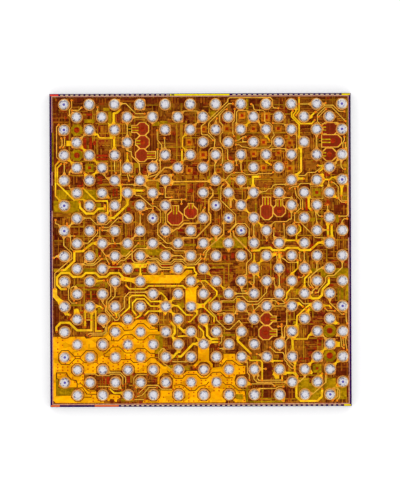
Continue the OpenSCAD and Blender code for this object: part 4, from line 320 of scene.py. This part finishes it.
def via_material():
    """Route ends in bright orange; the vias that stitch the wide fields are a dark rust."""
    g = Graph("via_caps", rough=0.45, metal=0.2, specular=0.0)
    c = g.mix(g.span(g.noise(3.0, 2.0), 0.35, 0.65), tone(255, 148, 34), tone(250, 128, 22))
    field = g.math("MULTIPLY", g.math("GREATER_THAN", g.j, 17.2), g.math("LESS_THAN", g.i, 14.6))
    c = g.mix(g.math("MULTIPLY", field, 0.9), c, tone(196, 76, 12))
    c = g.mix(g.span(g.noise(20.0, 3.0), 0.5, 0.8, 0.0, 0.4), c, tone(200, 80, 4))
    g.colour(c)
    g.bump(g.noise(40.0, 3.0), 0.000001, 0.4)
    return g.mat


def solder_material():
    """Reflowed solder: a bright crown, around it a ring of painted shade that is greyer and flecked with dark violet,
    and dull flanks tinted warm with a painted reflection.
    """
    g = Graph("solder", rough=0.15, metal=1.0)
    up = g.put("ShaderNodeSeparateXYZ", {0: g.put("ShaderNodeTexCoord").outputs["Normal"]}).outputs[2]
    flank = g.span(up, 0.8, 0.5)
    c = g.mix(g.span(g.noise(8.0, 4.0, 0.7), 0.42, 0.62), tone(230, 227, 229), tone(212, 208, 216))
    # Painted shade: a ring on the shoulder below the crown, picked out by its slope, is painted greyer and flecked
    # with dark violet.
    band = g.math("MULTIPLY", g.span(up, 0.93, 0.84), g.span(up, 0.36, 0.56))
    shade_flecks = g.span(g.noise(5.6, 3.0, 0.62), 0.53, 0.59)
    # Painted reflection: the flanks, picked out by their slope, are tinted warm pale yellow, as they would mirror the
    # chip and floor around them.
    c = g.mix(flank, c, tone(246, 230, 184))
    shade_belt = g.math("MULTIPLY", g.span(up, 0.94, 0.8), g.span(up, 0.5, 0.72))
    c = g.mix(g.math("MULTIPLY", shade_belt, 0.36), c, tone(150, 140, 146))
    c = g.mix(g.math("MULTIPLY", g.math("MULTIPLY", band, shade_flecks), 0.85), c, tone(84, 76, 116))
    c = g.mix(g.span(g.noise(13.0, 3.0, 0.6), 0.62, 0.7, 0.0, 0.5), c, tone(160, 150, 206))
    g.tree.links.new(g.span(flank, 0.0, 1.0, 1.0, 0.55), g.shader.inputs["Metallic"])
    g.colour(c)
    g.rough(g.span(g.noise(12.0, 3.0), 0.3, 0.7, 0.1, 0.2))
    g.bump(g.noise(9.0, 3.0, 0.6), 0.000008, 0.8)
    return g.mat


def crater_material():
    g = Graph("solder_dimple", rough=0.35, metal=0.9)
    g.colour(g.mix(g.noise(40.0, 2.0), tone(70, 62, 150), tone(120, 110, 190)))
    g.bump(g.noise(50.0, 2.0), 0.000001, 0.5)
    return g.mat


def bump_material():
    g = Graph("under_bump", rough=0.4, metal=0.7)
    g.colour(g.mix(g.span(g.noise(12.0, 3.0), 0.3, 0.7), tone(214, 180, 120), tone(186, 150, 96)))
    g.bump(g.noise(40.0, 3.0), 0.000001, 0.4)
    return g.mat


def silicon_material():
    g = Graph("silicon_walls", rough=0.32, metal=0.25, specular=0.5)
    depth = g.span(g.k, silicon_low.z / STEP, silicon_high.z / STEP)
    marks = g.noise(30.0, 4.0, 0.6, g.stretch(1.0, 1.0, 0.12))
    c = g.mix(g.span(marks, 0.3, 0.7), tone(70, 68, 80), tone(112, 110, 122))
    c = g.mix(g.span(depth, 0.9, 0.96, 0.0, 0.7), c, tone(46, 30, 66))
    c = g.mix(g.span(g.noise(60.0, 2.0), 0.6, 0.75, 0.0, 0.5), c, tone(160, 158, 170))
    g.colour(c)
    g.rough(g.span(marks, 0.3, 0.7, 0.22, 0.5))
    g.bump(marks, 0.000004, 0.6)
    return g.mat


def film_material():
    g = Graph("back_film", rough=0.7, specular=0.3)
    g.colour(g.mix(g.span(g.noise(30.0, 5.0, 0.7), 0.35, 0.65), tone(22, 22, 24), tone(44, 44, 47)))
    g.rough(g.span(g.noise(20.0, 3.0), 0.3, 0.7, 0.55, 0.8))
    g.bump(g.noise(45.0, 4.0, 0.7), 0.000003, 0.5)
    return g.mat


def street_material(name, base, alt):
    g = Graph(name, rough=0.5, specular=0.0)
    c = g.mix(g.span(g.noise(6.0, 3.0), 0.35, 0.65), base, alt)
    c = g.mix(g.span(g.noise(14.0, 2.0), 0.5, 0.8, 0.0, 0.4), c, tone(110, 60, 60))
    g.colour(c)
    g.bump(g.noise(50.0, 2.0), 0.0000006, 0.4)
    return g.mat


def bar_material():
    """Alignment bars: red at one corner, orange along the low edge and yellow elsewhere."""
    g = Graph("street_bars", rough=0.5, specular=0.0)
    c = g.mix(g.math("LESS_THAN", g.i, 0.0), tone(252, 232, 0), tone(244, 58, 52))
    low = g.math("MULTIPLY", g.math("GREATER_THAN", g.j, 12.0), g.math("LESS_THAN", g.i, 12.0))
    c = g.mix(low, c, tone(242, 116, 62))
    c = g.mix(g.span(g.noise(7.0, 3.0), 0.45, 0.75, 0.0, 0.4), c, tone(200, 120, 10))
    g.colour(c)
    g.bump(g.noise(50.0, 2.0), 0.0000006, 0.4)
    return g.mat


fine = copper_material("copper_traces", base=tone(252, 206, 72), warm=tone(242, 186, 56), edge=tone(248, 174, 62),
                       low_tone=tone(204, 116, 26))
pads = copper_material("copper_pads", base=tone(255, 168, 54), warm=tone(255, 162, 46), edge=tone(255, 184, 82),
                       low_tone=tone(226, 124, 22), cloud=0.4)
broad = copper_material("copper_broad", base=tone(255, 216, 8), warm=tone(255, 196, 4), edge=tone(255, 182, 24),
                        low_tone=tone(240, 138, 0), cloud=0.65, grain=0.5, low_corner=tone(255, 172, 6))
supply = copper_material("copper_supply", base=tone(255, 218, 30), warm=tone(255, 202, 20), edge=tone(255, 184, 40),
                         low_tone=tone(240, 152, 12), cloud=0.5, grain=0.4, tan=tone(222, 166, 60))
MATERIALS = {
    "back_film": film_material(),
    "silicon_die": silicon_material(),
    "circuit_stack": stack_material(),
    "dark_fields": inlay("dark_fields", tone(118, 44, 12), tone(98, 32, 12), tone(186, 106, 18), 0.23, "i", 0.8),
    "shield_plates": inlay("shield_plates", tone(182, 138, 8), tone(162, 124, 4), tone(218, 166, 14), 0.14, "i", 0.5),
    "metal_straps": inlay("metal_straps", tone(184, 110, 18), tone(160, 90, 12), tone(206, 140, 20), 0.17, "j", 0.6),
    "cell_frames": inlay("cell_frames", tone(218, 128, 18), tone(196, 110, 14), tone(236, 150, 26), 0.12, "i", 0.5),
    "device_cells": inlay("device_cells", tone(176, 48, 14), tone(160, 40, 14), tone(196, 80, 16), 0.15, "j", 0.6),
    "coil_windings": coil_material(),
    "coil_leads": inlay("coil_leads", tone(212, 172, 14), tone(200, 156, 6), tone(226, 190, 24)),
    "seal_ring": street_material("seal_ring", tone(222, 170, 142), tone(196, 134, 116)),
    "street_test_pads": street_material("street_test_pads", tone(226, 206, 160), tone(206, 184, 150)),
    "street_bars": bar_material(),
    "supply_planes": broad,
    "ball_pads": pads,
    "pad_corners": pads,
    "supply_traces": supply,
    "coil_guards": fine,
    "via_caps": via_material(),
    "under_bump_pads": bump_material(),
}
for letter in "abcd":
    MATERIALS["signal_traces_" + letter] = fine
for name, material in MATERIALS.items():
    mesh = bpy.data.objects[name].data
    mesh.materials.clear()
    mesh.materials.append(material)

# Solder balls: collapsed spheres with a slightly uneven skin, one piece for each row
SEGMENTS = 36
RINGS = 22
WAVES = 5
UNEVEN = 0.022
DIMPLE_DEPTH = 0.05
DIMPLE_START = 1.35
DIMPLE_SPAN = 0.22
DIMPLE_RINGS = 3
solder = solder_material()
crater = crater_material()


def ball_mesh(points, faces, marks, centre, speck, rng):
    """Adds one ball: rings from the foot up to the crown, with a dimple where speck is above 0."""
    middle = BALL_TOP - ball_r
    foot_angle = math.asin((BALL_FOOT - middle) / ball_r)
    waves = [(Vector([rng.gauss(0, 1) for _ in range(3)]).normalized(), rng.uniform(3, 9), rng.uniform(0, 6.28))
             for _ in range(WAVES)]
    start = len(points)
    for ring in range(RINGS):
        lift = foot_angle + (math.pi / 2 - foot_angle) * (ring / RINGS) ** 0.9
        for s in range(SEGMENTS):
            turn = 2 * math.pi * s / SEGMENTS
            way = Vector((math.cos(lift) * math.cos(turn), math.cos(lift) * math.sin(turn), math.sin(lift)))
            dent = sum(1 + math.sin(w.dot(way) * f + p) for w, f, p in waves) / (2 * WAVES)
            radius = ball_r * (1 - UNEVEN * dent * min(1, ring / 3))
            if speck and lift > DIMPLE_START:
                radius -= ball_r * DIMPLE_DEPTH * speck * (lift - DIMPLE_START) / DIMPLE_SPAN
            points.append((centre[0] + way.x * radius, centre[1] + way.y * radius,
                           max(BALL_FOOT, middle + way.z * radius)))
    points.append((centre[0], centre[1], middle + ball_r * (0.985 - DIMPLE_DEPTH * speck)))
    points.append((centre[0], centre[1], BALL_FOOT))
    crown, base = len(points) - 2, len(points) - 1
    for ring in range(RINGS - 1):
        for s in range(SEGMENTS):
            a, b = start + ring * SEGMENTS + s, start + ring * SEGMENTS + (s + 1) % SEGMENTS
            faces.append((a, b, b + SEGMENTS, a + SEGMENTS))
            marks.append(1 if speck and ring >= RINGS - DIMPLE_RINGS else 0)
    top = start + (RINGS - 1) * SEGMENTS
    for s in range(SEGMENTS):
        faces.append((top + s, top + (s + 1) % SEGMENTS, crown))
        marks.append(1 if speck else 0)
        faces.append((start + (s + 1) % SEGMENTS, start + s, base))
        marks.append(0)


for j, row in enumerate(ROWS):
    rng = random.Random(1000 + j)
    points, faces, marks = [], [], []
    for i in range(j % 2, 23, 2):
        if (i, j) not in EMPTY:
            ball_mesh(points, faces, marks, place(i, j), SPECKED.get((i, j), 0), rng)
    mesh = bpy.data.meshes.new("reflowed_" + row)
    mesh.from_pydata(points, [], faces)
    mesh.polygons.foreach_set("material_index", marks)
    mesh.polygons.foreach_set("use_smooth", [True] * len(faces))
    mesh.materials.append(solder)
    mesh.materials.append(crater)
    balls = bpy.data.objects.new("reflowed_" + row, mesh)
    bpy.context.scene.collection.objects.link(balls)
    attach(balls, "root")
    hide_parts(row)

# Floor, light and camera
FAR = 5.0
FLOOR_Z = -0.000002
FLOOR_TONE = (0.9, 0.9, 0.9, 1)
FLOOR_GLOW = 0.3
# Brightness of the dome by height, from the horizon at 0 to the zenith at 1
DOME = ((0.0, (0.54, 0.5, 0.49, 1)), (0.42, (0.64, 0.61, 0.62, 1)), (0.56, (1.04, 1.04, 1.05, 1)),
        (1.0, (1.08, 1.08, 1.08, 1)))
LENS = 400
VIEW_HEIGHT = 0.011196
VIEW_CENTRE = (-0.0000113, 0.0000011)
VIEW_TURN = -0.209


def background_rays(tree):
    """1 for the rays that show the background: seen directly, in a gloss or through glass."""
    path = tree.nodes.new("ShaderNodeLightPath")
    shown = path.outputs["Is Camera Ray"]
    for kind in ("Is Glossy Ray", "Is Transmission Ray"):
        either = tree.nodes.new("ShaderNodeMath")
        either.operation = "MAXIMUM"
        tree.links.new(shown, either.inputs[0])
        tree.links.new(path.outputs[kind], either.inputs[1])
        shown = either.outputs[0]
    return shown


floor_mesh = bpy.data.meshes.new("floor")
corners = [(x, y, FLOOR_Z) for x, y in ((-FAR, -FAR), (FAR, -FAR), (FAR, FAR), (-FAR, FAR))]
floor_mesh.from_pydata(corners, [], [(0, 1, 2, 3)])
floor = bpy.data.objects.new("floor", floor_mesh)
bpy.context.scene.collection.objects.link(floor)
ground = bpy.data.materials.new("floor")
ground.use_nodes = True
tree = ground.node_tree
tree.nodes.clear()
out = tree.nodes.new("ShaderNodeOutputMaterial")
diffuse = tree.nodes.new("ShaderNodeBsdfDiffuse")
diffuse.inputs["Color"].default_value = FLOOR_TONE
glow = tree.nodes.new("ShaderNodeEmission")
amount = tree.nodes.new("ShaderNodeMath")
amount.operation = "MULTIPLY"
amount.inputs[1].default_value = FLOOR_GLOW
add = tree.nodes.new("ShaderNodeAddShader")
tree.links.new(background_rays(tree), amount.inputs[0])
tree.links.new(amount.outputs[0], glow.inputs["Strength"])
tree.links.new(diffuse.outputs[0], add.inputs[0])
tree.links.new(glow.outputs[0], add.inputs[1])
tree.links.new(add.outputs[0], out.inputs["Surface"])
floor_mesh.materials.append(ground)

world = bpy.data.worlds.new("studio")
bpy.context.scene.world = world
world.use_nodes = True
sky = world.node_tree
sky.nodes.clear()
sky_out = sky.nodes.new("ShaderNodeOutputWorld")
light = sky.nodes.new("ShaderNodeBackground")
way = sky.nodes.new("ShaderNodeTexCoord")
split = sky.nodes.new("ShaderNodeSeparateXYZ")
shade = sky.nodes.new("ShaderNodeValToRGB")
for _ in range(len(DOME) - 2):
    shade.color_ramp.elements.new(0.5)
for element, (at, colour) in zip(shade.color_ramp.elements, DOME):
    element.position = at
    element.color = colour
sky.links.new(way.outputs["Generated"], split.inputs[0])
sky.links.new(split.outputs["Z"], shade.inputs[0])
sky.links.new(shade.outputs[0], light.inputs["Color"])
plain = sky.nodes.new("ShaderNodeBackground")
plain.inputs["Color"].default_value = (1, 1, 1, 1)
choice = sky.nodes.new("ShaderNodeMixShader")
sky.links.new(background_rays(sky), choice.inputs[0])
sky.links.new(light.outputs[0], choice.inputs[1])
sky.links.new(plain.outputs[0], choice.inputs[2])
sky.links.new(choice.outputs[0], sky_out.inputs["Surface"])

camera = bpy.data.cameras.new("camera")
camera.lens = LENS
camera.clip_start = 0.0005
camera.clip_end = 20
eye = bpy.data.objects.new("camera", camera)
bpy.context.scene.collection.objects.link(eye)
middle_z = (FACE + BALL_TOP) / 2
eye.location = (*VIEW_CENTRE, middle_z + VIEW_HEIGHT * camera.lens / camera.sensor_width)
eye.rotation_euler = (0, 0, math.radians(VIEW_TURN))
bpy.context.scene.camera = eye
bpy.context.scene.view_settings.view_transform = "Standard"
